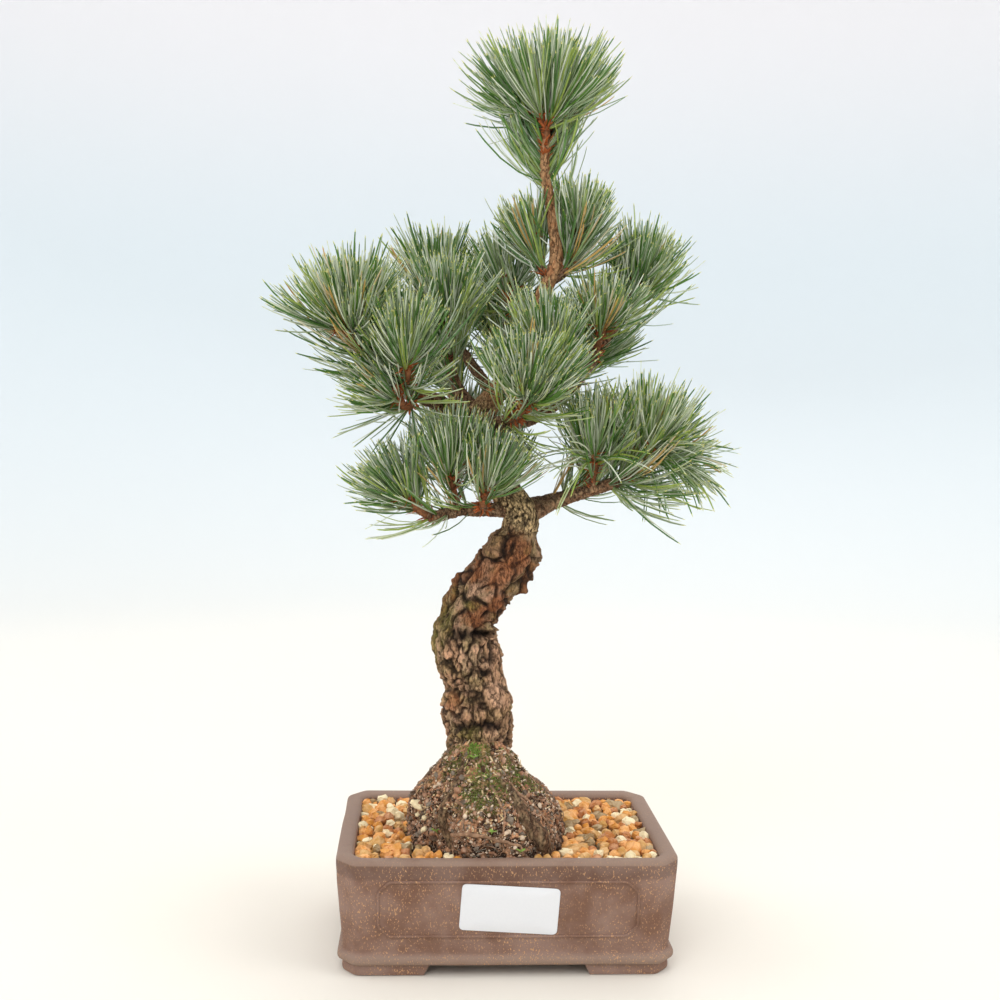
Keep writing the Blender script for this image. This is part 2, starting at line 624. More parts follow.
def resampled(line, count, closed=False):
    """Points evenly spaced along each polyline (lines, points, axes)."""
    if closed:
        line = np.concatenate([line, line[:, :1]], axis=1)
    steps = np.linalg.norm(np.diff(line, axis=1), axis=-1)
    along = np.concatenate([np.zeros((len(line), 1)), np.cumsum(steps, axis=1)], axis=1)
    share = np.linspace(0, 1, count, endpoint=not closed)
    out = [
        np.stack([np.interp(share * a[-1], a, path[:, k]) for k in range(line.shape[-1])], -1)
        for a, path in zip(along, line)
    ]
    return np.array(out)


# Paths of limbs


class LimbPath:
    """A smooth path of x, y, z and radius rows. Between two rows the place is a cubic whose end
    slopes come from centripetal spacing, and the radius goes by 3t^2 - 2t^3, as in the source."""

    def __init__(self, rows):
        rows = np.asarray(rows, float)
        p, self.radii = rows[:, :3], rows[:, 3]
        a, b = p[:-1], p[1:]
        before = np.vstack([2 * p[:1] - p[1:2], p[:-2]])
        after = np.vstack([p[2:], 2 * p[-1:] - p[-2:-1]])
        d0, d1, d2 = (
            np.linalg.norm(gap, axis=1, keepdims=True) ** 0.5
            for gap in (a - before, b - a, after - b)
        )
        t1 = ((a - before) / d0 - (b - before) / (d0 + d1) + (b - a) / d1) * d1
        t2 = ((b - a) / d1 - (after - a) / (d1 + d2) + (after - b) / d2) * d1
        self.terms = (a, t1, 3 * (b - a) - 2 * t1 - t2, 2 * (a - b) + t1 + t2)
        dense = np.linspace(0, len(a), 60 * len(a) + 1)
        steps = np.linalg.norm(np.diff(self.place(dense), axis=0), axis=1)
        self.dense, self.lengths = dense, np.concatenate([[0], np.cumsum(steps)])

    def part(self, where):
        """The stretch between two rows that each place is in, and how far along it, 0 to 1."""
        k = np.clip(np.floor(where).astype(int), 0, len(self.radii) - 2)
        return k, (where - k)[:, None]

    def place(self, where):
        """c0 + c1 t + c2 t^2 + c3 t^3."""
        k, t = self.part(where)
        c0, c1, c2, c3 = (term[k] for term in self.terms)
        return c0 + t * (c1 + t * (c2 + t * c3))

    def slope(self, where):
        """The direction of c1 + 2 c2 t + 3 c3 t^2."""
        k, t = self.part(where)
        _, c1, c2, c3 = (term[k] for term in self.terms)
        return unit(c1 + t * (2 * c2 + 3 * t * c3))

    def even(self, count):
        """Places, slopes, radii and lengths at evenly spaced stations."""
        along = np.linspace(0, self.lengths[-1], count)
        where = np.interp(along, self.lengths, self.dense)
        k, t = self.part(where)
        share = (t * t * (3 - 2 * t))[:, 0]
        radius = self.radii[k] * (1 - share) + self.radii[k + 1] * share
        return self.place(where), self.slope(where), radius, along

    def tip(self):
        """Place, direction and radius at the far end."""
        end = np.array([len(self.radii) - 1.0])
        return self.place(end)[0], self.slope(end)[0], self.radii[-1]


def limb_paths():
    """The middle line of the trunk and of each bough and twig."""
    return {name: LimbPath(rows) for name, rows in {"trunk": TRUNK_ROWS, **BOUGH_ROWS}.items()}


def limb_rings(centres, slopes, reach, back):
    """Rings round a path: at angle a, `reach` away along right cos a + back sin a, where right
    and back are square to the path and `back` leans as the given direction."""
    behind = square_to(slopes, back)
    way = round_about(np.cross(behind, slopes), behind, full_turn(reach.shape[1]))
    return centres[:, None] + reach[..., None] * way


# Pieces and finishes

OWN_COLOURS = "bark"


def new_object(name, data):
    made = bpy.data.objects.new(name, data)
    bpy.context.scene.collection.objects.link(made)
    return made


def mesh_of(name, points, faces, soft=True):
    """A mesh from whole arrays: points in metres, and faces in arrays of equal corners. soft
    shades them as one surface."""
    mesh = bpy.data.meshes.new(name)
    mesh.vertices.add(len(points))
    mesh.vertices.foreach_set("co", points.astype(np.float32).ravel())
    totals = np.concatenate([np.full(len(part), part.shape[1]) for part in faces])
    corners = np.concatenate([part.ravel() for part in faces]).astype(np.int32)
    mesh.loops.add(len(corners))
    mesh.loops.foreach_set("vertex_index", corners)
    mesh.polygons.add(len(totals))
    starts = np.concatenate([[0], np.cumsum(totals)[:-1]]).astype(np.int32)
    mesh.polygons.foreach_set("loop_start", starts)
    mesh.polygons.foreach_set("use_smooth", np.full(len(totals), soft))
    mesh.update(calc_edges=True)
    return mesh


def add_piece(name, shape, finishes, slot, replaced=None, kinds=None, colours=None, soft=True):
    """A piece that rides on the tree's one body, from a shape in millimetres. It replaces the
    node named as its slot, unless others are given. kinds gives each face's finish, and colours
    each point's colour."""
    points, faces = shape
    mesh = mesh_of(name, (np.asarray(points, float) + SHIFT) * MM, faces, soft)
    for finish in finishes:
        mesh.materials.append(finish.material)
    if kinds is not None:
        mesh.polygons.foreach_set("material_index", np.asarray(kinds, np.int32))
    if colours is not None:
        layer = mesh.attributes.new(OWN_COLOURS, "FLOAT_COLOR", "POINT")
        full = np.concatenate([colours, np.ones((len(colours), 1))], axis=1)
        layer.data.foreach_set("color", full.astype(np.float32).ravel())
    piece = new_object(name, mesh)
    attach(piece, "root")
    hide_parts(*(replaced or [slot]))


def padded(colour):
    """A colour with its fourth number. A socket stays as it is."""
    return colour if isinstance(colour, bpy.types.NodeSocket) else (*colour[:3], 1.0)


class Finish:
    """A material and the few kinds of node that its pattern is made of."""

    def __init__(self, name, roughness=0.6, specular=0.5):
        self.material = bpy.data.materials.new(name)
        self.material.use_nodes = True
        self.nodes = self.material.node_tree.nodes
        self.links = self.material.node_tree.links
        self.shader = self.nodes["Principled BSDF"]
        self.put(self.shader, {"Roughness": roughness, "Specular IOR Level": specular})
        self.place = self.nodes.new("ShaderNodeTexCoord").outputs["Object"]

    def put(self, node, inputs):
        """Links each socket given, and sets each number or colour, at a node's inputs."""
        for key, value in inputs.items():
            if isinstance(value, bpy.types.NodeSocket):
                self.links.new(value, node.inputs[key])
            else:
                node.inputs[key].default_value = value

    def node(self, kind, inputs, **settings):
        made = self.nodes.new(kind)
        for key, value in settings.items():
            setattr(made, key, value)
        self.put(made, inputs)
        return made

    def noise(self, size, detail=3.0, roughness=0.6, stretch=(1, 1, 1)):
        """Noise with features of about `size` metres, drawn out by `stretch`."""
        scale = tuple(1 / (size * s) for s in stretch)
        mapping = self.node("ShaderNodeMapping", {"Vector": self.place, "Scale": scale})
        inputs = {"Vector": mapping.outputs[0], "Scale": 1.0, "Detail": detail}
        inputs["Roughness"] = roughness
        return self.node("ShaderNodeTexNoise", inputs).outputs["Fac"]

    def carried(self):
        """The colours that the mesh's points carry."""
        return self.node("ShaderNodeAttribute", {}, attribute_name=OWN_COLOURS).outputs["Color"]

    def height(self):
        return self.node("ShaderNodeSeparateXYZ", {0: self.place}).outputs["Z"]

    def maths(self, way, first, second):
        return self.node("ShaderNodeMath", {0: first, 1: second}, operation=way).outputs[0]

    def between(self, value, low, high, out_low=0.0, out_high=1.0):
        """value carried from the range low to high onto out_low to out_high, and held there."""
        inputs = {0: value, 1: low, 2: high, 3: out_low, 4: out_high}
        made = self.node("ShaderNodeMapRange", inputs, interpolation_type="SMOOTHSTEP")
        return made.outputs[0]

    def mixed(self, share, first, second, way="MIX"):
        """Two colours, mixed by a share."""
        inputs = {0: share, 6: padded(first), 7: padded(second)}
        return self.node("ShaderNodeMix", inputs, data_type="RGBA", blend_type=way).outputs[2]

    def clouded(self, noise, dark, light):
        """Two colours, mixed where a noise is low and high."""
        return self.mixed(self.between(noise, 0.35, 0.65), dark, light)

    def product(self, first, second):
        return self.maths("MULTIPLY", first, second)

    def coloured(self, colour):
        self.put(self.shader, {"Base Color": padded(colour)})
        return self

    def bumped(self, height, depth):
        """Bumps of `depth` metres from a height of 0 to 1."""
        made = self.node("ShaderNodeBump", {"Height": height, "Distance": depth, "Strength": 1.0})
        self.put(self.shader, {"Normal": made.outputs[0]})
        return self


# Pot


def wall_inset(z):
    """How far the wall lies in from the rim's band at a height."""
    low = POT_HEIGHT - RIM_BAND
    return WALL_TAPER * (low - z) / (low - BELT_TOP)


def inner_inset(z):
    """How far the inside lies in from the band: the rim's width, and 4 more at the floor."""
    return RIM_WIDTH + 4 * (POT_HEIGHT - z) / (POT_HEIGHT - FLOOR_TOP)


def pot_corners(insets):
    """The pot's eight corners at each inset, counter-clockwise from the right end of the front."""
    inset = np.asarray(insets, float)[:, None]
    half = POT_HALF - inset
    cut = np.maximum(CORNER_CUT - inset * (2 - np.sqrt(2)), 2)
    x, y = half[:, 0], half[:, 1]
    cut_x, cut_y = cut[:, 0], cut[:, 1]
    ring = [
        (x - cut_x, -y), (x, cut_y - y), (x, y - cut_y), (x - cut_x, y),
        (cut_x - x, y), (-x, y - cut_y), (-x, cut_y - y), (cut_x - x, -y),
    ]
    return np.stack([np.stack(corner, -1) for corner in ring], axis=1)


def clay_wander(points, amount):
    """Points of pressed clay, moved by soft noise."""
    return points + amount * three_noises(points / 22.0, 9, 60) * np.array([1, 1, 0.5])


def pot_shell(edge_round):
    """The pot's profile carried round its outline: rows of inset and height, from the middle of
    the underside, out, up over belt, wall and rim, and in to the middle of the floor."""
    belt = WALL_TAPER - BELT_PROUD
    profile = np.array([
        (48, FOOT_HEIGHT), (30, FOOT_HEIGHT), (WALL_TAPER + 1.2, FOOT_HEIGHT),
        (belt, FOOT_HEIGHT + 0.5), (belt - 0.1, BELT_TOP - 0.9),
        (wall_inset(BELT_TOP) + 0.1, BELT_TOP + 0.3), (wall_inset(30), 30),
        (0.25, POT_HEIGHT - RIM_BAND), (0.35, POT_HEIGHT - 0.6), (2.6, POT_HEIGHT + 0.15),
        (RIM_WIDTH - 1.4, POT_HEIGHT - 0.2), (RIM_WIDTH + 0.2, POT_HEIGHT - 1.6),
        (inner_inset(40), 40), (inner_inset(FLOOR_TOP), FLOOR_TOP), (30, FLOOR_TOP),
        (48, FLOOR_TOP),
    ])
    rows = rounded(profile, edge_round, 5, closed=False)
    rows = rows[np.concatenate([[True], np.linalg.norm(np.diff(rows, axis=0), axis=1) > 1e-6])]
    lines = rounded(pot_corners(rows[:, 0]), CORNER_ROUND, 6)
    outline = lines.reshape(len(rows), 8, 6, 2)
    ahead = np.roll(outline[:, :, 0], -1, axis=1)[:, :, None]
    t = np.linspace(0, 1, 14)[1:-1][:, None]
    straight = outline[:, :, -1:] * (1 - t) + ahead * t
    around = np.concatenate([outline, straight], axis=2).reshape(len(rows), -1, 2)
    rings = np.dstack([around, rows[:, 1, None] + 0 * around[..., 0]])
    return skin(rings, (0, 0, rows[0, 1]), (0, 0, rows[-1, 1]))


def pot_foot(sign_x, sign_y):
    """One corner foot: a rounded section carried round the pot's corner, whose ends slope so
    that the foot is longer at the top."""
    section = np.array([
        (WALL_TAPER + 0.5, 0), (WALL_TAPER - 0.1, 1.1), (WALL_TAPER + 0.2, FOOT_HEIGHT + 0.6),
        (WALL_TAPER + 12, FOOT_HEIGHT + 0.6), (WALL_TAPER + 12, 0),
    ])
    section = rounded(section, 0.9, 4)
    corners = pot_corners(section[:, 0])
    slope = 3.2 * (section[:, 1] + 1) / 6
    front_end = POT_HALF[0] - WALL_TAPER - FOOT_LENGTH - slope
    side_end = POT_HALF[1] - WALL_TAPER - 0.8 * FOOT_LENGTH - slope
    line = np.stack([
        np.stack([front_end, corners[:, 0, 1]], -1), corners[:, 0], corners[:, 1],
        np.stack([corners[:, 1, 0], -side_end], -1),
    ], axis=1)
    line = resampled(rounded(line, CORNER_ROUND, 6, closed=False), 60)
    rings = np.dstack([line, section[:, 1, None] + 0 * line[..., 0]]).transpose(1, 0, 2)
    rings = rings * np.array([sign_x, -sign_y, 1])
    if sign_x * sign_y < 0:
        rings = rings[:, ::-1]
    return skin(rings, rings[0].mean(axis=0), rings[-1].mean(axis=0))


def panel_line(half_width, wall, turn, radius):
    """The raised line round one wall's panel: a round bead along a rectangle with clipped
    corners, on the wall's slope."""
    x, z = half_width, PANEL_HALF_HEIGHT
    a, c = x - PANEL_CLIP, z - PANEL_CLIP
    corners = np.array([(a, -z), (x, -c), (x, c), (a, z), (-a, z), (-x, c), (-x, -c), (-a, -z)])
    line = resampled(rounded(corners, 1.2, 5)[None], 220, closed=True)[0]
    height = line[:, 1] + LABEL_CENTRE[1]
    place = np.stack([line[:, 0], wall_inset(height) - wall, height], -1)
    ahead, behind = np.roll(place, -1, axis=0), np.roll(place, 1, axis=0)
    slope = unit(ahead - behind)
    out = unit(np.array([0, -1.0, -0.09]) + 0 * slope)
    rings = place[:, None] + radius * round_about(np.cross(out, slope), out, full_turn(10))
    cos, sin = np.cos(turn), np.sin(turn)
    rings = rings @ np.array([[cos, sin, 0], [-sin, cos, 0], [0, 0, 1]])
    return rings.reshape(-1, 3), [grid_faces(*rings.shape[:2], looped=True)]


def clay_finish(name, options):
    """Unglazed stoneware: purple-brown clay clouded by noise, gold sand in flecks, and a paler
    greyer clay where hands and damp have worn the rim and the belt."""
    finish = Finish(name, roughness=0.72, specular=0.35)
    height = finish.height()
    rim = finish.between(height, 0.0504, 0.0512)
    under_rim = finish.product(
        finish.between(height, 0.0512, 0.0504), finish.between(height, 0.0436, 0.0456)
    )
    belt = finish.product(
        finish.between(height, 0.0108, 0.0092), finish.between(height, 0.0036, 0.0056)
    )
    cloud = finish.noise(0.022, 4)
    worn = finish.maths("MAXIMUM", rim, belt)
    worn = finish.product(worn, finish.between(cloud, 0.25, 0.6, 0.55, 1.0))
    darker = finish.mixed(0.16, options.clay, (0, 0, 0))
    lighter = finish.mixed(0.1, options.clay, (1, 0.9, 0.85))
    clay = finish.mixed(finish.between(cloud, 0.3, 0.7), darker, lighter)
    clay = finish.mixed(worn, clay, options.worn_clay)
    clay = finish.mixed(finish.product(under_rim, 0.3), clay, (0.04, 0.02, 0.015))
    fleck = finish.between(finish.noise(0.0008, 1.0, stretch=(0.8, 0.8, 1.4)), 0.615, 0.665)
    patch = finish.between(finish.noise(0.02, 2), 0.36, 0.62, 0.35, 1.0)
    fleck = finish.product(fleck, patch)
    fleck = finish.product(fleck, finish.between(rim, 0, 1, 0.9, 0.25))
    finish.coloured(finish.mixed(fleck, clay, options.fleck))
    finish.put(finish.shader, {"Roughness": finish.between(cloud, 0.3, 0.7, 0.62, 0.8)})
    return finish.bumped(finish.noise(0.0009, 4, 0.7), 0.00018)


def build_pot(options):
    """The pot in three pieces: shell, four feet, and a panel line on each of its four walls."""
    finish = clay_finish("unglazed_stoneware", options)
    feet = [pot_foot(x, y) for x in (-1, 1) for y in (-1, 1)]
    sides = (POT_HALF - PANEL_MARGIN, POT_HALF[::-1])
    lines = [panel_line(half, wall, turn + back, options.bead_radius / MM)
             for back in (0, np.pi) for half, wall, turn in zip(*sides, (0, np.pi / 2))]
    shapes = {"pot_shell": pot_shell(options.edge_round / MM), "pot_feet": joined(feet),
              "pot_panel_lines": joined(lines)}
    for name, (points, faces) in shapes.items():
        moved = clay_wander(points, options.unevenness / MM)
        if name == "pot_feet":
            moved[:, 2] = np.maximum(moved[:, 2], 0)
        add_piece(name, (moved, faces), [finish], "pot")
    cut_drains(bpy.data.objects["pot_shell"])


def cut_drains(pot):
    """Two round drain holes through the floor, cut from the finished mesh."""
    ends = (FOOT_HEIGHT - 3, FLOOR_TOP + 3)
    centres = np.array([[(side * DRAIN_OFFSET, 0, z) for z in ends] for side in (-1, 1)])
    points, faces = tubes(centres, np.full((2, 2), DRAIN_RADIUS), round_section(40), (0, 1.0, 0))
    drill = new_object("drill", mesh_of("drill", (points + SHIFT) * MM, faces, soft=False))
    cut = pot.modifiers.new("drains", "BOOLEAN")
    cut.operation, cut.solver, cut.object = "DIFFERENCE", "MANIFOLD", drill
    graph = bpy.context.evaluated_depsgraph_get()
    done = bpy.data.meshes.new_from_object(pot.evaluated_get(graph))
    pot.modifiers.clear()
    if len(done.polygons) == len(pot.data.polygons):
        raise RuntimeError("the drain holes were not cut")
    pot.data = done
    bpy.data.objects.remove(drill)


def build_label(options):
    """A blank paper label: a thin slab with rounded corners, tilted a little on the front wall,
    one corner of which has lifted."""
    finish = Finish("label_paper", roughness=0.42, specular=0.4)
    grain = finish.noise(0.0012, 3)
    tone = finish.mixed(finish.between(grain, 0.3, 0.7), options.label, (0.88, 0.88, 0.88))
    finish.coloured(finish.mixed(0.12, options.label, tone))
    finish.bumped(grain, 0.00002)
    corners = LABEL_SIZE / 2 * np.array([(-1, -1), (1, -1), (1, 1), (-1, 1)])
    outline = resampled(rounded(corners, 2.3, 9)[None], 180, closed=True)[0]
    # Rows of share of the outline and height off the wall, from the back's middle to the front's
    low, high = 0.02, 0.27
    profile = np.array([(0.5, low), (0.985, low), (1, 0.09), (1, 0.2), (0.985, high), (0.5, high)])
    flat = outline[None] * profile[:, 0, None, None]
    lift = profile[:, 1, None, None] + 0 * flat[..., :1]
    points, faces = skin(np.concatenate([flat, lift], axis=-1), (0, 0, low), (0, 0, high))
    x, z, lifted = points.T
    lifted = lifted + 0.35 * np.clip((x + z - 26) / 8, 0, 1) ** 2
    cos, sin = np.cos(np.radians(LABEL_TILT)), np.sin(np.radians(LABEL_TILT))
    x, z = x * cos - z * sin + LABEL_CENTRE[0], x * sin + z * cos + LABEL_CENTRE[1]
    y = wall_inset(z) - POT_HALF[1] - lifted - 0.12
    add_piece("label_blank", (np.stack([x, y, z], -1), faces), [finish], "label")


# Gravel, soil and root mound


def mound_radius(z):
    """The mound's mean radius at a height, by straight lines between the profile's rows."""
    return np.interp(z, MOUND_PROFILE[:, 1], MOUND_PROFILE[:, 0])


def mound_bump(angle, z):
    """The source's lobes, which lean out to the right and front low down, with small ripples."""
    low = 1 - smoothstep(58, 86, z)
    lean = -0.02 + sum(
        share * np.cos((k + 1) * angle - np.radians(degrees))
        for k, (share, degrees) in enumerate(MOUND_LOBES)
    )
    ripples = 0.02 * np.sin(3 * angle + 0.1 * z) + 0.03 * np.sin(7 * angle - 0.2 * z)
    return 1 + low * lean + ripples


def inside_pot(x, y, inset):
    """Whether a place lies inside the pot's outline moved in by inset."""
    half_x, half_y = POT_HALF[0] - inset, POT_HALF[1] - inset
    cut_x, cut_y = (np.maximum(cut - inset * (2 - np.sqrt(2)), 2) for cut in CORNER_CUT)
    beyond = (np.abs(x) - half_x + cut_x) / cut_x + (np.abs(y) - half_y + cut_y) / cut_y
    return (np.abs(x) < half_x) & (np.abs(y) < half_y) & (beyond < 1)


def on_mound(angle, z, lift=0.0):
    """Places on the mound's skin at a compass angle and a height, held inside the pot."""
    grain = np.stack([30 * np.cos(angle), 30 * np.sin(angle), z], -1)
    lumps = 1.5 * fractal(grain / 9.0, 3, 21) + 0.7 * fractal(grain / 2.6, 2, 31)
    reach = mound_radius(z) * mound_bump(angle, z) + lumps + lift
    x = MOUND_CENTRE[0] + reach * np.cos(angle)
    y = MOUND_CENTRE[1] + reach * np.sin(angle)
    wall = POT_HALF[1] - inner_inset(np.minimum(z, POT_HEIGHT)) - 0.3
    held = np.where(z < POT_HEIGHT + 1, np.clip(y, -wall, wall), y)
    return np.stack([x, held, z + 0 * x], -1)


def stone_finish(name, colour, grain=0.0016):
    """A stone: its colour clouded darker and paler by two sizes of noise, with a pitted skin."""
    finish = Finish(name, roughness=0.8, specular=0.3)
    cloud, speck = finish.noise(0.0045, 3), finish.noise(grain, 3, 0.75)
    dark = finish.mixed(0.24, colour, (0.12, 0.06, 0.02))
    light = finish.mixed(0.22, colour, (1, 0.9, 0.7))
    base = finish.mixed(finish.between(cloud, 0.32, 0.68), dark, light)
    finish.coloured(finish.mixed(finish.between(speck, 0.58, 0.72, 0.0, 0.5), base, dark))
    return finish.bumped(speck, 0.0003)


def pebble_places(hollow):
    """The source's grid of pebbles, where every other point is a pebble's top and the rest are
    the hollows between, each moved by the seeded rule. Gives x, y and z, and a number of 0 to 1."""
    columns, rows = (int(np.floor(2 * half / PEBBLE_SPACING + 0.5)) for half in POT_HALF)
    places, own = [], []
    for column in range(columns + 1):
        for row in range(rows + 1):
            if (column + row) % 2 != hollow:
                continue
            numbers = seeded_numbers(GRAVEL_SEED + 977 * column + 31 * row)
            rise, aside_x, aside_y, number = (next(numbers) for _ in range(4))
            rise = -0.45 - 0.2 * rise if hollow else 0.4 + 0.35 * rise
            x = 2 * POT_HALF[0] * (column / columns - 0.5) + 0.5 * PEBBLE_SPACING * (aside_x - 0.5)
            y = 2 * POT_HALF[1] * (row / rows - 0.5) + 0.5 * PEBBLE_SPACING * (aside_y - 0.5)
            places.append((x, y, GRAVEL_TOP + PEBBLE_RISE * rise))
            own.append(number)
    return np.array(places), np.array(own)


def build_gravel(options):
    """Loose pebbles: one under each top of the source's grid, smaller ones in its hollows and
    crumbs below, sorted into colours, over a bed that hides the gaps."""
    rng = np.random.default_rng(GRAVEL_DRAWS)
    middling, lift = 0.5 * options.pebble_size / MM, 0.9
    centres, sizes, picks = [], [], []
    for layer, (hollow, scale, sunk) in enumerate(((0, 1.0, 0.8), (1, 0.72, -0.35), (1, 0.6, 2.0))):
        place, own = pebble_places(hollow)
        if layer == 2:
            place = place + rng.uniform(-1.6, 1.6, place.shape) * [1, 1, 0.4]
        size = middling * scale * (0.8 + 0.5 * own**1.5)
        size = np.where(own > 0.955, 1.35 * size, size)
        three = size[:, None] * rng.uniform([0.85, 0.7, 0.66], [1.2, 1.05, 0.95], (len(size), 3))
        place[:, 2] += lift - sunk * three[:, 2]
        room = POT_HALF - RIM_WIDTH - 0.2 - 0.85 * size[:, None]
        near = np.all(np.abs(place[:, :2]) < room + 0.6 * PEBBLE_SPACING, axis=1)
        place[:, :2] = np.clip(place[:, :2], -room, room)
        from_mound = place[:, :2] - MOUND_CENTRE
        angle = np.arctan2(from_mound[:, 1], from_mound[:, 0])
        rim = mound_radius(50.0) * mound_bump(angle, 50.0)
        far = np.linalg.norm(from_mound, axis=1) > rim + 0.25 * size
        kept = near & far & inside_pot(place[:, 0], place[:, 1], RIM_WIDTH + 0.2 + 0.8 * size)
        centres.append(place[kept])
        sizes.append(three[kept])
        picks.append(rng.random(kept.sum()) + 0.1 * (place[kept, 0] > 10) * (own[kept] > 0.7))
    centres, sizes, pick = (np.concatenate(parts) for parts in (centres, sizes, picks))
    centres[:, 2] = np.minimum(centres[:, 2], POT_HEIGHT - 0.5 - 0.8 * sizes[:, 2])
    kinds = {"ochre": (-1, 0.36), "rust": (0.36, 0.5), "tan": (0.5, 0.74), "grey": (0.74, 0.83),
             "cream": (0.83, 2)}
    for kind, (low, high) in kinds.items():
        chosen = (pick >= low) & (pick < high)
        shape = balls(centres[chosen], sizes[chosen], rng, 4, 7, 0.42, 0.9, level=0.35)
        finish = stone_finish(f"pebble_{kind}", getattr(options, kind))
        add_piece(f"pebbles_{kind}", shape, [finish], "gravel", soft=False)
    add_bed(options)


def add_bed(options):
    """The bed under the pebbles: a slab whose outline is the pot's inside, a circle's x and y
    raised to a small power, and whose top is uneven by noise."""
    low, high = 44.7, GRAVEL_TOP - 2.6
    edge = round_section(96)
    edge = np.sign(edge) * np.abs(edge) ** 0.22 * (POT_HALF - RIM_WIDTH - 1.1)
    flat = edge[None] * np.linspace(0.06, 1, 26)[:, None, None]
    top = high + 0.7 * fractal(np.dstack([flat / 5.0, 0 * flat[..., :1]]), 2, 3)
    lower = np.dstack([flat[[0, -1]] * 0.985, np.full((2, 96), low)])
    rings = np.concatenate([lower, np.dstack([flat, top])[::-1]])
    shape = skin(rings, (0, 0, low), (0, 0, high))
    finish = stone_finish("gravel_bed", tuple(0.2 * c for c in options.tan), 0.0012)
    add_piece("gravel_bed", shape, [finish], "gravel")


def mound_colours(options, points, angle):
    """Damp soil, drier on its lumps, green high up and toward the front and right."""
    fine = fractal(points / 2.2, 3, 41)
    broad = fractal(points / 12.0, 2, 43)
    dry = smoothstep(-0.25, 0.65, fine + 0.35 * broad)
    colour = blend(options.soil, options.soil_dry, dry)
    colour = colour * (0.5 + 0.5 * smoothstep(47, 60, points[:, 2]))[:, None]
    high = smoothstep(70, 92, points[:, 2])
    front = smoothstep(62, 78, points[:, 2]) * np.exp(-((angle + 1.6) / 0.7) ** 2)
    green = smoothstep(-0.1, 0.5, fractal(points / 6.0, 3, 47) + 0.5 * high + 0.55 * front - 0.3)
    green = green * np.maximum(high, front)
    return blend(colour, options.moss, 0.5 * green)


def earth_finish(name):
    """Damp soil: the colours that its points carry, times a noise of crumbs, with pale specks."""
    finish = Finish(name, roughness=0.92, specular=0.2)
    own = finish.carried()
    crumb, speck = finish.noise(0.0011, 4, 0.7), finish.noise(0.0006, 2)
    shade = finish.mixed(finish.between(crumb, 0.3, 0.7), (0.35, 0.33, 0.3), (1.75, 1.65, 1.55))
    base = finish.mixed(0.85, own, shade, "MULTIPLY")
    pale = finish.between(speck, 0.6, 0.68, 0, 0.7)
    finish.coloured(finish.mixed(pale, base, srgb(206, 190, 166)))
    return finish.bumped(crumb, 0.0007)


def build_mound(options):
    """The root mound: its skin, grit, moss, rootlets and seedlings."""
    z = np.linspace(MOUND_PROFILE[0, 1], MOUND_TOP, MOUND_STATIONS)[:, None]
    angle = full_turn(MOUND_SIDES) + 0 * z
    rings = on_mound(angle, z + 0 * angle)
    shape = skin(rings, rings[0].mean(axis=0), rings[-1].mean(axis=0))
    own = np.concatenate([[0], angle.ravel(), [0]])
    own = np.where(own > np.pi, own - 2 * np.pi, own)
    colours = mound_colours(options, shape[0], own)
    add_piece("mound_soil", shape, [earth_finish("damp_soil")], "root_mound", colours=colours)
    add_grit(options)
    add_moss(options)
    add_litter(options)
    add_rootlets(options)


def scattered(rng, count, low, high):
    """Compass angles and heights spread evenly over the mound's skin between two heights."""
    z = rng.uniform(low, high, 4 * count)
    kept = rng.random(4 * count) < mound_radius(z) / MOUND_PROFILE[0, 0]
    z = z[kept][:count]
    return rng.uniform(-np.pi, np.pi, len(z)), z


def add_grit(options):
    """Grit and crumbs of bark, half sunk in the mound's skin, in three colours."""
    rng = np.random.default_rng(GRIT_DRAWS)
    kinds = (("grit_pale", options.grit_pale, 2100, 0.72),
             ("grit_brown", options.grit_brown, 1300, 1.0),
             ("grit_dark", tuple(1.6 * c for c in options.soil), 900, 1.1))
    for name, colour, count, size in kinds:
        angle, z = scattered(rng, count, 46, 94)
        if name == "grit_pale":
            low_left = smoothstep(0, 1.2, np.abs(np.angle(np.exp(1j * (angle + 1.2)))) - 0.5)
            rare = 0.75 * low_left + 0.6 * smoothstep(58, 50, z)
            kept = rng.random(len(z)) > rare
            angle, z = angle[kept], z[kept]
        place = on_mound(angle, z, 0.1)
        sizes = size * rng.gamma(4, 0.16, (len(z), 1)).clip(0.3, 1.7)
        sizes = sizes * rng.uniform(0.5, 1.25, (len(z), 3))
        shape = balls(place, sizes, rng, 3, 6, 0.3, 0.8)
        add_piece(f"mound_{name}", shape, [stone_finish(name, colour, 0.0008)], "root_mound")


# Cushions of moss on the mound: compass angle in degrees, height, reach and share of blades
MOSS_PATCHES = (
    (-95, 76, 6.5, 0.16), (-72, 80, 5.5, 0.1), (-40, 84, 6.5, 0.13), (-104, 95, 3, 0.07),
    (-128, 88, 5, 0.06), (-88, 86, 3, 0.05), (150, 88, 6, 0.08), (60, 86, 7, 0.1),
    (105, 90, 5, 0.07), (-22, 78, 4.5, 0.05),
)


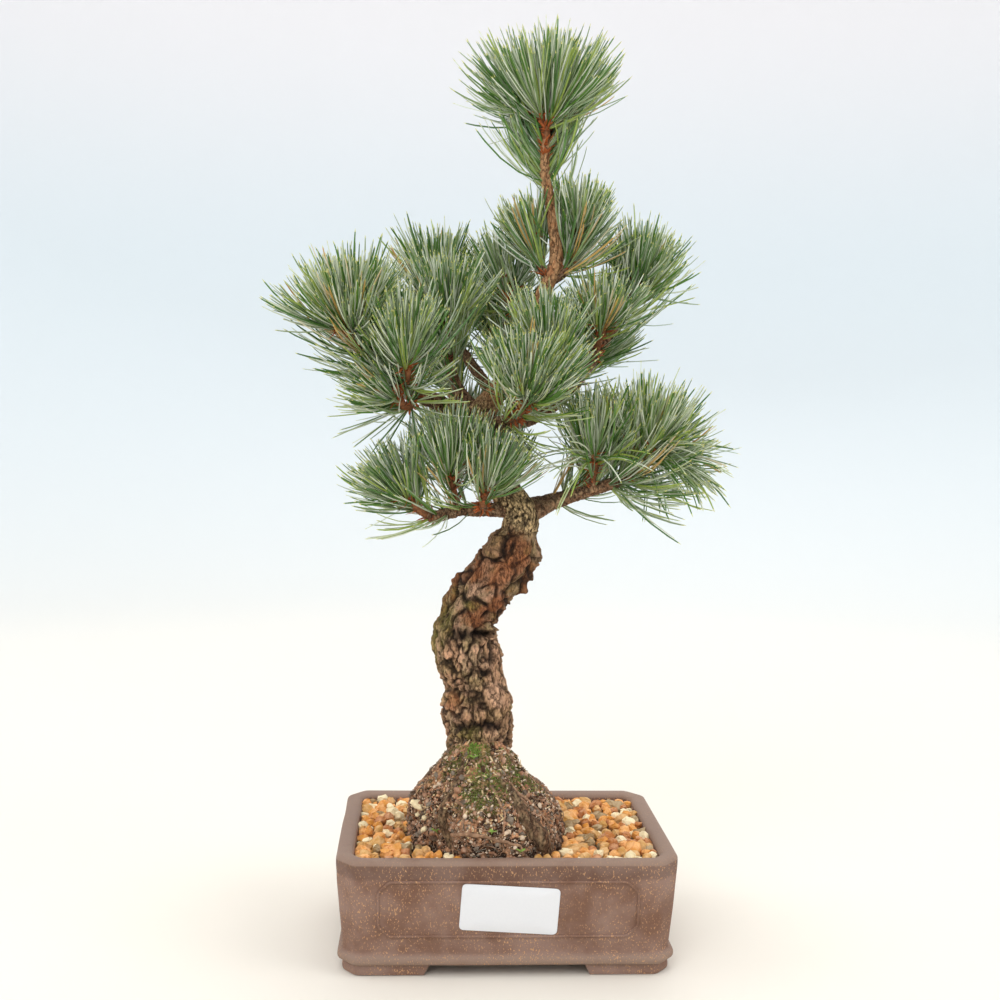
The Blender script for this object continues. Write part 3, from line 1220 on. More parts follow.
def add_moss(options):
    """Cushions of moss: short pointed blades that stand out of the mound, and a few seedlings."""
    rng = np.random.default_rng(MOSS_DRAWS)
    angle, z = [], []
    for degrees, height, reach, share in MOSS_PATCHES:
        count = int(3400 * share)
        off = rng.normal(size=(count, 2)) * reach * 0.55
        z.append(height + off[:, 1])
        angle.append(np.radians(degrees) + off[:, 0] / mound_radius(height))
    angle, z = np.concatenate(angle), np.clip(np.concatenate(z), 50, 96)
    root = on_mound(angle, z, -0.2)
    way = unit(outward(angle, 0.9) + rng.normal(size=root.shape) * 0.55)
    length = rng.uniform(0.7, 1.6, (len(z), 1))
    girths = (0.26, 0.208, 0.104)
    lines = blade_lines(root, way, length, (0, 0.5, 0.9), girths, 0.3, rng)
    fresh = np.hypot(z - 95, 8 * (angle + 1.82)) < 4
    fresh |= np.hypot(z - 86, 8 * (angle + 1.54)) < 4
    bright = rng.random(len(z)) < np.where(fresh, 0.8, 0.1)
    kinds = ("dark", options.moss, ~bright), ("bright", options.moss_bright, bright)
    for name, colour, chosen in kinds:
        centres, radii, ends = (part[chosen] for part in lines)
        shape = tubes(centres, radii, round_section(3), (0.31, 0.2, -0.93), ends)
        finish = Finish(f"moss_{name}", 0.75, 0.25).coloured(colour)
        add_piece(f"mound_moss_{name}", shape, [finish], "root_mound")
    add_seedlings(options, rng)


def add_litter(options):
    """Fallen bud scales, flakes of bark and dry needle ends: short flat blades that lie on the
    mound, most of them near the trunk, and a few stones that rolled onto its left shoulder."""
    rng = np.random.default_rng(LITTER_DRAWS)
    kinds = (("rust", options.grit_brown, (1.25, 1.0, 0.7), 150, 66, 97, 2.2),
             ("straw", options.grit_pale, (0.95, 0.9, 0.62), 420, 60, 97, 2.0),
             ("dark", options.soil, (0.8, 0.8, 0.8), 420, 50, 97, 2.4))
    for name, colour, tint, count, low, high, middling in kinds:
        angle, z = scattered(rng, count, low, high)
        place = on_mound(angle, z, 0.35)
        out = outward(angle, 0.7)
        along = rng.normal(size=place.shape)
        along = unit(along - 0.75 * np.sum(along * unit(out), -1, keepdims=True) * unit(out))
        half = 0.5 * middling * rng.gamma(4, 0.25, (len(z), 1))
        girths = (0.22, 0.42, 0.22)
        centres, radii, ends = blade_lines(place, along, half, (-1, 0, 0.8), girths, 0.4, rng)
        shape = tubes(centres, radii, round_section(5, 0.3), out, ends)
        finish = stone_finish(f"litter_{name}", tuple(np.multiply(colour, tint)), 0.0008)
        add_piece(f"mound_litter_{name}", shape, [finish], "root_mound")
    turn, height = np.radians([-165, -158, -171, -150]), np.array([67.5, 62, 62, 58.0])
    sizes = np.array([[3.6, 2.4, 1.9], [1.6, 1.3, 1], [1.4, 1.2, 1], [1.8, 1.4, 1.1]])
    shape = balls(on_mound(turn, height, 0.6), sizes, rng, 5, 9, 0.3, 0.86, level=0.3)
    finish = stone_finish("mound_stone", options.cream)
    add_piece("mound_stones", shape, [finish], "root_mound", soft=False)


def add_seedlings(options, rng):
    """Tiny seedlings: three round leaves on a short stalk."""
    shapes = []
    for degrees, height in ((-133, 58), (-82.4, 62.5), (-65, 54), (-100, 91)):
        foot = on_mound(np.radians([degrees]), np.array([height]), 0)[0]
        out = unit(outward(np.radians(degrees), 0.8))
        top = foot + 2.2 * out
        for turn in rng.uniform(0, 6.3) + np.array([0, 2.1, 4.2]):
            leaf = top + unit(outward(turn, 0.35)) * np.linspace(0.2, 2.5, 5)[:, None]
            radii = np.array([[0.3, 0.75, 0.95, 0.75, 0.25]])
            shapes.append(tubes(leaf[None], radii, round_section(8, 0.22), (0.1, 0.1, 1.0)))
        stalk = np.stack([foot - 0.5 * out, top])[None]
        shapes.append(tubes(stalk, np.full((1, 2), 0.22), round_section(5), (1.0, 0.3, 0)))
    finish = Finish("seedling", 0.5, 0.4).coloured(options.moss_bright)
    add_piece("mound_seedlings", joined(shapes), [finish], "root_mound")


ROOT_FACING = (0.2, 0.1, 0.97)
# Roots that lie on the mound: radius, then compass degrees and heights
LYING_ROOTS = (
    (1.0, ((-113, 59.5), (-101, 61.4), (-92, 61), (-83, 60.3), (-73, 58.6), (-58, 54.3))),
    (0.75, ((-112, 75), (-105, 70), (-104, 64), (-110, 58), (-112, 51))),
    (0.6, ((-80, 80), (-74, 73), (-72, 66), (-78, 60))),
    (0.7, ((-60, 84), (-48, 76), (-40, 70), (-30, 60), (-26, 52))),
    (0.8, ((170, 80), (182, 72), (186, 64), (196, 54))),
    (0.7, ((40, 80), (48, 70), (44, 60), (50, 52))),
    (0.7, ((110, 82), (104, 72), (112, 62), (108, 52))),
)


def add_rootlets(options):
    """Roots and rootlets on the mound: smooth paths of angle and height, laid on its skin."""
    rng = np.random.default_rng(ROOTLET_DRAWS)
    finish = Finish("rootlet", roughness=0.85, specular=0.25)
    cloud = finish.noise(0.003, 3)
    dark = finish.mixed(0.55, options.root, options.soil)
    finish.coloured(finish.clouded(cloud, dark, options.root))
    finish.bumped(finish.noise(0.0008, 3), 0.0003)
    shapes = []
    for radius, rows in LYING_ROOTS:
        path = LimbPath([(a, z, 0, radius) for a, z in rows]).even(70)[0]
        wander = 1.1 * smooth_noise(path / 6.0, 3)
        angle, z = np.radians(path[:, 0] + 2.5 * wander), path[:, 1] + 0.5 * wander
        centres = on_mound(angle, z, 0.35 * radius)
        girth = radius * np.linspace(1.15, 0.5, 70) * (1 + 0.2 * smooth_noise(path / 1.7, 4))
        shapes.append(tubes(centres[None], girth[None], round_section(9), ROOT_FACING))
    count, stations = 420, 12
    angle, z = scattered(rng, count, 50, 92)
    heading = rng.uniform(-np.pi, np.pi, (len(z), 1)) + np.cumsum(
        rng.normal(size=(len(z), stations)) * 0.35, axis=1
    )
    pace = rng.uniform(0.5, 1.3, (len(z), 1))
    along = np.cumsum(np.cos(heading) * pace, axis=1)
    rise = np.cumsum(np.sin(heading) * pace, axis=1)
    angles = angle[:, None] + along / mound_radius(z)[:, None]
    heights = np.clip(z[:, None] + rise, 46, 96)
    hump = np.sin(np.linspace(0, np.pi, stations))[None] * rng.uniform(0, 1.6, (len(z), 1))
    centres = on_mound(angles, heights, hump - 0.1)
    radii = rng.uniform(0.11, 0.28, (len(z), 1)) * np.linspace(1, 0.5, stations)[None]
    shapes.append(tubes(centres, radii, round_section(4), ROOT_FACING))
    add_piece("mound_rootlets", joined(shapes), [finish], "root_mound")


# Bark


# What marks the lower trunk: height, compass degrees (-90 is the front), reach along and round,
# how far it stands out, and the setting that holds its colour
BARK_MARKS = (
    (147.5, -90, 3.4, 16, -2.6, "crack"), (148.5, -50, 3, 9, -2.4, "crack"),
    (151.5, -28, 3.4, 6, 2.8, "ridge"), (163.5, -12, 4.6, 8, -2.6, "crack"),
    (148, 180, 13, 8, 0.1, "moss"), (141, 170, 7, 9, 0.0, "moss"),
    (118, -58, 7.5, 5.5, 1.0, "pale"), (116, -142, 6.5, 5, 0.2, "peeled"),
    (104, -90, 3.4, 16, -1.2, "crack"), (176.5, -92, 7.5, 5, 0.8, "peeled"),
    (167, -58, 5, 5.2, 0.9, "peeled"), (155, -84, 4.6, 6.4, 0.9, "peeled"),
    (187.5, -5, 4.2, 5, 1.9, "ridge"), (120, 90, 8, 6, 1.0, "pale"),
    (148, 90, 3.4, 13, -1.8, "crack"), (150, -140, 10, 5, 0.2, "moss"),
    (128.5, -66, 2.4, 3.4, -1.6, "crack"),
    (131, -60, 2.6, 3, 0.5, "pale"), (123.5, -100, 1.6, 12, -0.9, "ridge"),
    (170, -128, 6, 4.5, 0.6, "peeled"), (165.5, -112, 4.4, 3.2, 0.5, "pale"),
    (160, -100, 2, 4, 0.2, "moss"), (188, -96, 5.5, 1.4, -1.3, "crack"),
    (184, -60, 4, 3.4, 0.7, "peeled"), (180.5, 0, 1.3, 4, 2.0, "ridge"),
    (176.6, 2, 1.2, 4, 1.8, "ridge"), (178.6, 0, 0.9, 4, -1.2, "crack"),
    (98, -100, 5, 8, 0.4, "moss"), (104, 160, 7, 6, 0.3, "moss"),
    (186, 175, 8, 4, -0.6, "ridge"), (133, 60, 6, 5, 0.6, "peeled"),
    (160, 100, 7, 6, 0.5, "peeled"), (172, 60, 6, 5, 0.5, "peeled"), (140, 120, 8, 7, 0.4, "moss"),
)
PLATE_HEIGHT, PLATES_ROUND, PLATE_RISE, BARK_SEED = 10, 10, 2.2, 5
TRUNK_STATIONS, TRUNK_SIDES = 560, 150
BOUGH_STEP, BOUGH_SIDES = 0.75, 34


def plate_rise(turn, along):
    """The source's plates of old bark: a seeded height at each corner of a grid unrolled round
    the trunk, blended by 3t^2 - 2t^3 both ways."""
    rows = int(along.max() // PLATE_HEIGHT) + 2
    corners = np.array([
        [next(seeded_numbers(BARK_SEED + 977 * i + 31 * j)) for j in range(PLATES_ROUND)]
        for i in range(rows)
    ])
    row, column = along / PLATE_HEIGHT, turn / (2 * np.pi) * PLATES_ROUND
    i, j = np.floor(row).astype(int), np.floor(column).astype(int)
    up, on = smoothstep(0, 1, row - i), smoothstep(0, 1, column - j)
    j, k = j % PLATES_ROUND, (j + 1) % PLATES_ROUND
    low = corners[i, j] * (1 - on) + corners[i, k] * on
    high = corners[i + 1, j] * (1 - on) + corners[i + 1, k] * on
    return PLATE_RISE * (low * (1 - up) + high * up - 0.5)


def old_bark(points, plate, stretch, depth, seed):
    """Plates of old bark on points of the unrolled limb: scattered cells whose borders are
    cracks, each plate at a height of its own and tilted along the limb like a shingle, with a
    torn, layered skin. Gives heights, how far each point is out of a crack, and plate tones."""
    warp = three_noises(points / (0.8 * plate), 7, seed + 50)
    place = (points + 0.3 * plate * warp) / (plate * np.array([1, 1, stretch]))
    border, tone, rise = cells_at(place, seed)
    proud = smoothstep(0.02, 0.2, border)
    layers = 3.2 * (fractal(points / (0.55 * plate), 3, seed + 9) + tone)
    torn = np.floor(layers) + smoothstep(0.7, 1.0, layers - np.floor(layers))
    height = depth * (proud - 0.8 + 0.5 * (tone - 0.5) + 0.5 * rise + 0.15 * torn)
    height += 0.22 * depth * fractal(points / 1.5, 2, seed + 20)
    return height, proud, tone


def laid_out(path, stations, sides):
    """What a limb's bark is worked out from: places, slopes, angles round it, radii, lengths
    along it, and for each point r cos a, r sin a and length, which the patterns read."""
    centres, slopes, radius, along = path.even(stations)
    turn = full_turn(sides)
    along = along[:, None]
    r = radius[:, None] + np.zeros((1, sides))
    unrolled = np.stack([r * np.cos(turn), r * np.sin(turn), along + 0 * r], -1)
    return centres, slopes, turn, r, along, unrolled


def trunk_surface(options):
    """The trunk's rings, with bark relief, and its colours. Old plates below, fine scales on the
    neck, and rows of leaf scars on the leader, each faded into the next by height."""
    centres, slopes, turn, r, along, unrolled = laid_out(
        LimbPath(TRUNK_ROWS), TRUNK_STATIONS, TRUNK_SIDES
    )
    z = centres[:, 2:] + 0 * r
    plate = options.plate_size / MM
    depth = options.crack_depth / MM
    broad, broad_proud, broad_tone = old_bark(unrolled, plate, 1.5, depth, 100)
    narrow, narrow_proud, narrow_tone = old_bark(unrolled, 0.5 * plate, 2.6, 0.85 * depth, 200)
    fine, fine_proud, fine_tone = old_bark(unrolled, 2.3, 1.1, 0.42, 300)
    peg = np.exp(-((cells_at(unrolled / np.array([3.4, 3.4, 3.0]), 400)[0] - 0.9) ** 2) / 0.08)
    upper = smoothstep(146, 152, z)
    neck = smoothstep(190, 199, z + 2.5 * smooth_noise(unrolled / 5.0, 8))
    young = smoothstep(244, 262, z)
    ripple = 0.03 * r * (np.sin(3 * turn + 0.055 * along) + np.sin(5 * turn - 0.12 * along))
    ripple += smoothstep(3, 13, r) * plate_rise(turn + 0 * r, along + 0 * r)

    def faded(low, high, top, tip):
        mixed = low * (1 - upper) + high * upper
        mixed = mixed * (1 - neck) + top * neck
        return mixed * (1 - young) + tip * young

    shrink = np.clip(r / 6.0, 0.3, 1.0)
    height = ripple + faded(narrow + 0.3 * broad, broad + 0.15 * narrow, fine * shrink,
                            0.34 * fine * shrink + 0.55 * (1 - peg) * 0.5)
    proud = faded(narrow_proud, broad_proud, fine_proud, 0.6 + 0.4 * fine_proud)
    tone = faded(narrow_tone, broad_tone, fine_tone, fine_tone)
    colours = bark_colours(options, unrolled, proud, tone, z, upper, neck, young)
    height, colours = marked_bark(options, unrolled, z, turn, r, height, colours)
    colours = colours * relief_shade(height, 2)[..., None]
    rings = limb_rings(centres, slopes, r + height, np.array([0, 1.0, 0]))
    rings[..., 2] = np.maximum(rings[..., 2], GROUND)
    return rings, colours


def relief_shade(height, reach):
    """A factor that darkens what lies below the mean height some steps along and round a limb,
    and lightens what stands above it."""
    steps = (-2 * reach, -reach, reach, 2 * reach)
    mean = sum(np.roll(height, step, axis) for axis in (0, 1) for step in steps) / 8
    hollow = mean - height
    return (1 - 0.5 * smoothstep(0.06, 0.6, hollow)) * (1 + 0.16 * smoothstep(0.05, 0.5, -hollow))


def bark_colours(options, unrolled, proud, tone, z, upper, neck, young):
    """Each plate's tone picks ridge, peeled or pale bark, cracks go dark, and damp greens it."""
    fleck = fractal(unrolled / 1.6, 3, 71)
    streak = fractal(unrolled / np.array([1.1, 1.1, 5.0]), 2, 73)
    ridge = blend(options.ridge, options.pale, smoothstep(0.1, 0.9, streak + 0.35))
    peeled = blend(options.peeled, options.crack, smoothstep(0.2, 0.9, streak) * 0.5)
    share = smoothstep(0.35, 0.6, tone + 0.25 * fleck) * (0.25 + 0.6 * upper)
    plate = blend(ridge, peeled, share)
    plate = blend(plate, options.pale, smoothstep(0.78, 0.92, tone) * 0.5)
    neck_bark = blend(options.neck, options.crack, smoothstep(0.0, 0.7, fleck) * 0.7)
    plate = blend(plate, neck_bark, neck)
    plate = plate * (1 - 0.32 * upper * (1 - neck))[..., None]
    leader = blend(options.leader, options.peeled, smoothstep(-0.1, 0.7, streak + fleck) * 0.55)
    plate = blend(plate, leader, young)
    damp = smoothstep(0.1, 0.7, fractal(unrolled / 9.0, 2, 77) + 0.35 * (z < 112))
    plate = blend(plate, options.moss, (0.3 - 0.2 * neck) * damp * (1 - young))
    cracked = (1 - proud) * (1 - 0.55 * young)
    return blend(plate, options.crack, np.clip(0.85 * cracked, 0, 1))


def marked_bark(options, unrolled, z, turn, r, height, colours):
    """The trunk's own scars, knobs and patches: each mark raises or sinks the bark by a bell of
    its reach along and round the trunk, and tints it."""
    edge = 0.28 * fractal(unrolled / 3.0, 2, 81)
    for mark_z, degrees, reach, width, proud, tone in BARK_MARKS:
        around = np.angle(np.exp(1j * (turn[None] - np.radians(degrees)))) * r
        far = np.sqrt(((z - mark_z) / reach) ** 2 + (around / width) ** 2) + edge
        bell = 1 - smoothstep(0.35, 1.25, far)
        height = height + proud * bell
        if tone in ("peeled", "pale"):
            height = height * (1 - 0.45 * bell) + 0.45 * bell * proud
        share = bell * {"ridge": 0.35, "moss": 0.5, "peeled": 0.6}.get(tone, 0.8)
        grain = 1 + 0.25 * fractal(unrolled / np.array([0.9, 0.9, 3.0]), 2, 83)
        colours = blend(colours, np.asarray(getattr(options, tone)) * grain[..., None], share)
    return height, colours


def bark_finish(name, grain=0.0011):
    """Bark: the colours that its relief carries, mottled by two sizes of noise, with a fine
    rough skin on top of the modelled relief."""
    finish = Finish(name, roughness=0.88, specular=0.22)
    own = finish.carried()
    rough = finish.noise(grain, 4, 0.7, (1, 1, 1.6))
    broad = finish.noise(0.004, 2)
    shade = finish.mixed(finish.between(rough, 0.3, 0.7), (0.5, 0.48, 0.46), (1.4, 1.38, 1.35))
    run = finish.noise(0.0026, 3, 0.62, (1, 1, 2.6))
    split = finish.product(finish.between(run, 0.46, 0.5), finish.between(run, 0.54, 0.5))
    colour = finish.mixed(0.8, own, shade, "MULTIPLY")
    finish.coloured(finish.mixed(finish.product(split, 0.62), colour, (0.016, 0.009, 0.006)))
    finish.put(finish.shader, {"Roughness": finish.between(broad, 0.3, 0.7, 0.78, 0.95)})
    return finish.bumped(finish.maths("SUBTRACT", rough, split), 0.0007)


def build_trunk(options):
    """The trunk and the roots that run down the mound."""
    rings, colours = trunk_surface(options)
    shape = skin(rings, rings[0].mean(axis=0), rings[-1].mean(axis=0))
    finish = bark_finish("old_bark")
    add_piece("trunk_bark", shape, [finish], "trunk", colours=with_ends(colours))
    shapes, tints = [], []
    for order, root in enumerate(SURFACE_ROOTS):
        rows = []
        for degrees, z, depth, root_radius in root:
            angle = np.radians(degrees)
            reach = mound_radius(z) * mound_bump(angle, z) - depth
            x, y = MOUND_CENTRE + reach * np.array([np.cos(angle), np.sin(angle)])
            rows.append((x, y, z, root_radius))
        shape, tint = bough_surface(options, rows, 500 + 40 * order, 0.9, damp=0.25)
        shape[0][:, 2] = np.maximum(shape[0][:, 2], 46)
        shapes.append(shape)
        tints.append(0.62 * tint)
    add_piece("surface_roots", joined(shapes), [finish], "trunk",
              colours=np.concatenate(tints))


def bough_surface(options, rows, seed, depth, damp=0.0):
    """A bough: rings along its path with fine ridges across it, where its old needles stood,
    flat scales, a few swellings, and colours of red-brown bark."""
    path = LimbPath(rows)
    stations = max(14, int(path.lengths[-1] / BOUGH_STEP))
    centres, slopes, _, r, along, unrolled = laid_out(path, stations, BOUGH_SIDES)
    warped = along + 0.9 * smooth_noise(unrolled / 2.2, seed)
    ridges = 0.5 + 0.5 * np.sin(2 * np.pi * warped / 1.9)
    scales, proud, tone = old_bark(unrolled, 2.6, 0.8, 0.34 * depth, seed)
    swell = 0.3 * smooth_noise(np.dstack([along / 9.0, 0 * along, 0 * along + seed]), seed)
    lumps = 0.35 * fractal(unrolled / 4.0, 2, seed + 3)
    height = 0.6 * scales + 0.26 * depth * ridges + 0.7 * swell + 0.5 * lumps * depth
    back = least_along(slopes.mean(axis=0))
    rings = limb_rings(centres, slopes, r + height * np.clip(r / 3, 0.5, 1.2), back)
    streak = fractal(unrolled / np.array([1.4, 1.4, 3.0]), 2, seed + 5)
    colour = blend(options.bough, options.ridge, smoothstep(0, 0.8, streak + 0.2))
    colour = blend(colour, options.peeled, smoothstep(0.6, 0.85, tone) * 0.25)
    colour = blend(colour, options.crack, 0.42 * (1 - ridges) * (1 - 0.5 * proud))
    colour = blend(colour, options.crack, 0.36 * (1 - proud))
    if damp:
        colour = blend(colour, options.neck, damp * smoothstep(-0.4, 0.5, streak))
    return skin(rings, centres[0], centres[-1]), with_ends(colour)


def build_boughs(options):
    """The bark of every bough and twig, each with a seed of its own."""
    finish = bark_finish("bough_bark", 0.0009)
    for order, (name, rows) in enumerate(BOUGH_ROWS.items()):
        shape, tint = bough_surface(options, rows, 600 + 13 * order, 1.0)
        add_piece(f"{name}_bark", shape, [finish], "bough", [name], colours=tint)


# Shoots and needles


def shoot_sites():
    """Where every shoot stands, by the source's rule: a stem goes on from its limb's tip and
    turns toward the mass's aim, and several shoots fork from it round that aim."""
    sites = []
    paths = limb_paths()
    for order, (name, (limb, aim, shoots, reach, droop, tuft)) in enumerate(MASSES.items()):
        numbers = seeded_numbers(FIRST_SEED + SEED_STEP * order)
        tip, slope, radius = paths[limb].tip()
        aim = unit(np.array(aim, float))
        bend = tip + slope * (0.3 + STEM_LENGTH / 2)
        fork = bend + aim * STEM_LENGTH / 2
        for k in range(shoots):
            turn = 2 * np.pi * k / shoots + next(numbers)
            axis = leaning(aim, SHOOT_SPREAD, turn) if shoots > 1 else aim
            sites.append({
                "mass": name, "foot": tip - 1.2 * slope, "fork": fork, "axis": axis,
                "radius": radius, "reach": reach, "droop": droop, "turn": turn,
                "heart": fork + 0.8 * SHOOT_LENGTH * axis, "seed": 1000 + 31 * order + k,
                "slope": slope, "tuft": tuft,
            })
    return sites


def twiglets(site):
    """The finer twigs of one shoot: its own axis and side twigs that leave it in a spiral, as
    rows of start, direction, length and share of the shoot's bundles."""
    rng = np.random.default_rng(site["seed"])
    axis, fork = site["axis"], site["fork"]
    made = [(fork - 2.5 * axis, axis, SHOOT_LENGTH + 2.5, 0.4)]
    for k in range(4):
        lean = rng.uniform(0.4, 0.8)
        way = leaning(axis, lean, site["turn"] + GOLDEN_ANGLE * k + rng.uniform(-0.3, 0.3))
        way = unit(way + np.array([0, 0, 0.12]))
        start = fork + axis * SHOOT_LENGTH * (0.05 + 0.16 * k)
        made.append((start, way, rng.uniform(7, 10), 0.15))
    return made


def build_shoots(options, sites):
    """Stems, shoots and their side twigs, with rust-orange bud scales round their feet and
    tips."""
    shapes, scales = [], []
    for site in sites:
        rng = np.random.default_rng(site["seed"] + SCALE_DRAWS)
        axis = site["axis"]
        end = site["fork"] + axis * SHOOT_LENGTH
        r = site["radius"]
        rows = [(*site["foot"], r), (*site["fork"], 1.02 * r), (*(0.5 * (site["fork"] + end)), 2.1),
                (*end, 1.5)]
        centres, _, radius, along = LimbPath(rows).even(24)
        radius = radius * (1 + 0.07 * np.sin(2 * np.pi * along / 1.7))
        bud = end + 3.2 * axis
        shapes.append(tubes(centres[None], radius[None], round_section(9), least_along(axis),
                            bud[None]))
        for start, way, length, _ in twiglets(site)[1:]:
            line = start + way * np.linspace(-1, length, 9)[:, None]
            girth = np.linspace(1.25, 0.95, 9) * (1 + 0.08 * np.sin(np.arange(9) * 2.4))
            tip = line[-1] + 2.4 * way
            shapes.append(tubes(line[None], girth[None], round_section(7), least_along(way),
                                tip[None]))
        scales.append(bud_scales(site, rng))
    bark = Finish("shoot_bark", roughness=0.8, specular=0.25)
    cloud = bark.noise(0.0016, 3)
    dark = bark.mixed(0.5, options.shoot, (0.02, 0.01, 0.005))
    bark.coloured(bark.clouded(cloud, dark, options.shoot))
    bark.bumped(cloud, 0.0004)
    add_piece("shoots", joined(shapes), [bark], "bough", MASSES)
    papery = Finish("bud_scale", roughness=0.7, specular=0.3).coloured(options.scale)
    add_piece("bud_scales", joined(scales), [papery], "needles", MASSES)


def bud_scales(site, rng):
    """Papery scales of one shoot: short flat blades that hug the axis and point outward, thick
    round its foot and at every tip."""
    rows = [(site["fork"] - 1.5 * site["axis"], site["axis"], 11.0, 26, 2.5),
            (site["foot"] - 7 * site["slope"], site["slope"], 9.0, 16, site["radius"] + 0.3)]
    rows += [(start + 0.5 * length * way, way, 0.5 * length, 10, 1.3)
             for start, way, length, _ in twiglets(site)]
    roots, ways, axes = [], [], []
    for start, axis, length, count, girth in rows:
        turn = GOLDEN_ANGLE * np.arange(count) + rng.uniform(0, 6)
        out = unit(leaning(axis, np.full(count, np.pi / 2), turn))
        place = start + axis * (length * rng.random((count, 1)) ** 1.3) + 0.8 * girth * out
        roots.append(place)
        ways.append(unit(axis * rng.uniform(0.5, 1.2, (count, 1)) + out))
        axes.append(out)
    roots, ways, axes = (np.concatenate(parts) for parts in (roots, ways, axes))
    length = rng.uniform(1.8, 4.8, (len(roots), 1))
    steps, girths = (0, 0.35, 0.75), (0.4, 0.64, 0.4)
    centres, radii, ends = blade_lines(roots, ways, length, steps, girths, 0.3, rng, 0.35 * axes)
    return tubes(centres, radii, round_section(5, 0.25), axes, ends)


def needle_bundles(site, count):
    """Bundles of one shoot: along each twig by a golden-angle spiral, leaning out near its foot
    and forward near its tip, with a few stragglers. Few hide the shoot's foot from the front.
    Gives roots, directions, axes and how far out each leans."""
    rng = np.random.default_rng(site["seed"] + BUNDLE_DRAWS)
    roots, ways, axes, leans = [], [], [], []
    upright, spread, _, many, strays = site["tuft"]
    tuft = unit((1 - upright) * site["axis"] + np.array([0, 0, upright]))
    for order, (start, axis, length, share) in enumerate(twiglets(site)):
        own = max(4, int(round(count * share * many)))
        step = (np.arange(own) + 0.5) / own
        lean = (1.2 if order == 0 else 1.05) - 1.02 * step + rng.normal(size=own) * 0.15
        turn = GOLDEN_ANGLE * np.arange(own) + rng.uniform(0, 6.3)
        place = start + axis * (length * (0.1 + 0.9 * step))[:, None]
        way = leaning(axis, np.clip(spread * lean, 0.05, 1.3), turn)
        lean = np.arccos(np.clip(way @ tuft, -1, 1))
        aside = unit(way - (way @ tuft)[:, None] * tuft)
        stray = rng.random(own) < strays
        held = np.where(stray, lean + 0.55, np.minimum(lean, 1.2))[:, None]
        way = tuft * np.cos(held) + aside * np.sin(held)
        hides = (way @ TOWARD_VIEWER > 0.35) & (step < 0.5)
        kept = ~hides | (rng.random(own) < 0.5)
        roots.append(place[kept])
        ways.append(way[kept])
        axes.append(np.broadcast_to(axis, (own, 3))[kept])
        leans.append(lean[kept])
    return [np.concatenate(parts) for parts in (roots, ways, axes, leans)]


def older_bundles():
    """Sparser bundles of older needles behind the tufts: along the last stretch of each limb
    that bears a mass, and along the leader, whose front stays bare. The same arrays as
    needle_bundles, for each limb."""
    paths, rows = limb_paths(), []
    limbs = dict.fromkeys(limb for limb, *_ in MASSES.values() if limb != "trunk")
    for order, limb in enumerate(limbs):
        whole = paths[limb].lengths[-1]
        each, lean, reach = USUAL_BUNDLES
        reach = min(0.45 * whole if limb.startswith("twig") else reach, whole)
        each, lean, reach = THICKER_BUNDLES.get(limb, (each, lean, reach))
        rows.append((limb, each, lean, reach, 0, 60 + order, (0, 0, 0.35)))
    for limb, each, lean, start, end, seed, drawn in (*rows, *MORE_BUNDLES):
        path = paths[limb]
        low, high = path.lengths[-1] - start, path.lengths[-1] - end
        rng = np.random.default_rng(seed)
        count = max(3, int((high - low) * each))
        along = low + (high - low) * (np.arange(count) + rng.random(count)) / count
        where = np.interp(along, path.lengths, path.dense)
        place, slope = path.place(where), path.slope(where)
        turn = GOLDEN_ANGLE * np.arange(count) + rng.uniform(0, 6.3)
        leans = lean + 0.18 * rng.normal(size=count)
        way = np.stack([leaning(s, a, t) for s, a, t in zip(slope, leans, turn)])
        way = unit(way + np.array(drawn))
        kept = way @ TOWARD_VIEWER < (0.3 if limb == "trunk" else 2)
        yield place[kept], way[kept], slope[kept], leans[kept]


def needles_of(bundles, length, droop, options, rng):
    """Every needle of some bundles: five to a bundle, opened by a small angle, each a path
    root + L (d t + b t^2 / 2), where the bend b draws the leaning ones up and forward."""
    roots, ways, axes, leans = bundles
    count = len(roots)
    fifth = 2 * np.pi * np.arange(5)[None] / 5 + rng.uniform(0, 6.3, (count, 1))
    side = unit(np.cross(ways, axes + np.array([0.013, 0.021, 0.017])))
    out = round_about(side, np.cross(ways, side), fifth)
    open_by = rng.uniform(0.06, 0.2, (count, 5, 1))
    way = unit(ways[:, None] + open_by * out + 0.03 * rng.normal(size=(count, 5, 3)))
    up = np.array([0, 0, 1.0])
    toward = 0.55 * axes[:, None] + 0.5 * up
    if droop:
        sag = (way[..., 2:] < 0.45) & (rng.random((count, 5, 1)) < 0.6)
        toward = np.where(sag, -0.9 * up, toward)
    bend = toward - way * np.sum(toward * way, -1, keepdims=True)
    amount = np.clip(leans / 1.3, 0.05, 1)[:, None] * rng.uniform(0.5, 1.5, (count, 5))
    amount = 1.4 * options.curl * amount
    bend = bend * amount[..., None] + 0.15 * rng.normal(size=bend.shape)
    lengths = length * rng.uniform(0.74, 1.02, (count, 1)) * rng.uniform(0.93, 1.03, (count, 5))
    t = NEEDLE_STATIONS[None, None, :, None]
    path = way[:, :, None] * t + 0.5 * bend[:, :, None] * t**2
    path = roots[:, None, None] + lengths[..., None, None] * path
    tone = np.repeat(rng.random((count, 1)), 5, axis=1)
    return tuple(part.reshape(5 * count, *part.shape[2:]) for part in (path, out, tone))


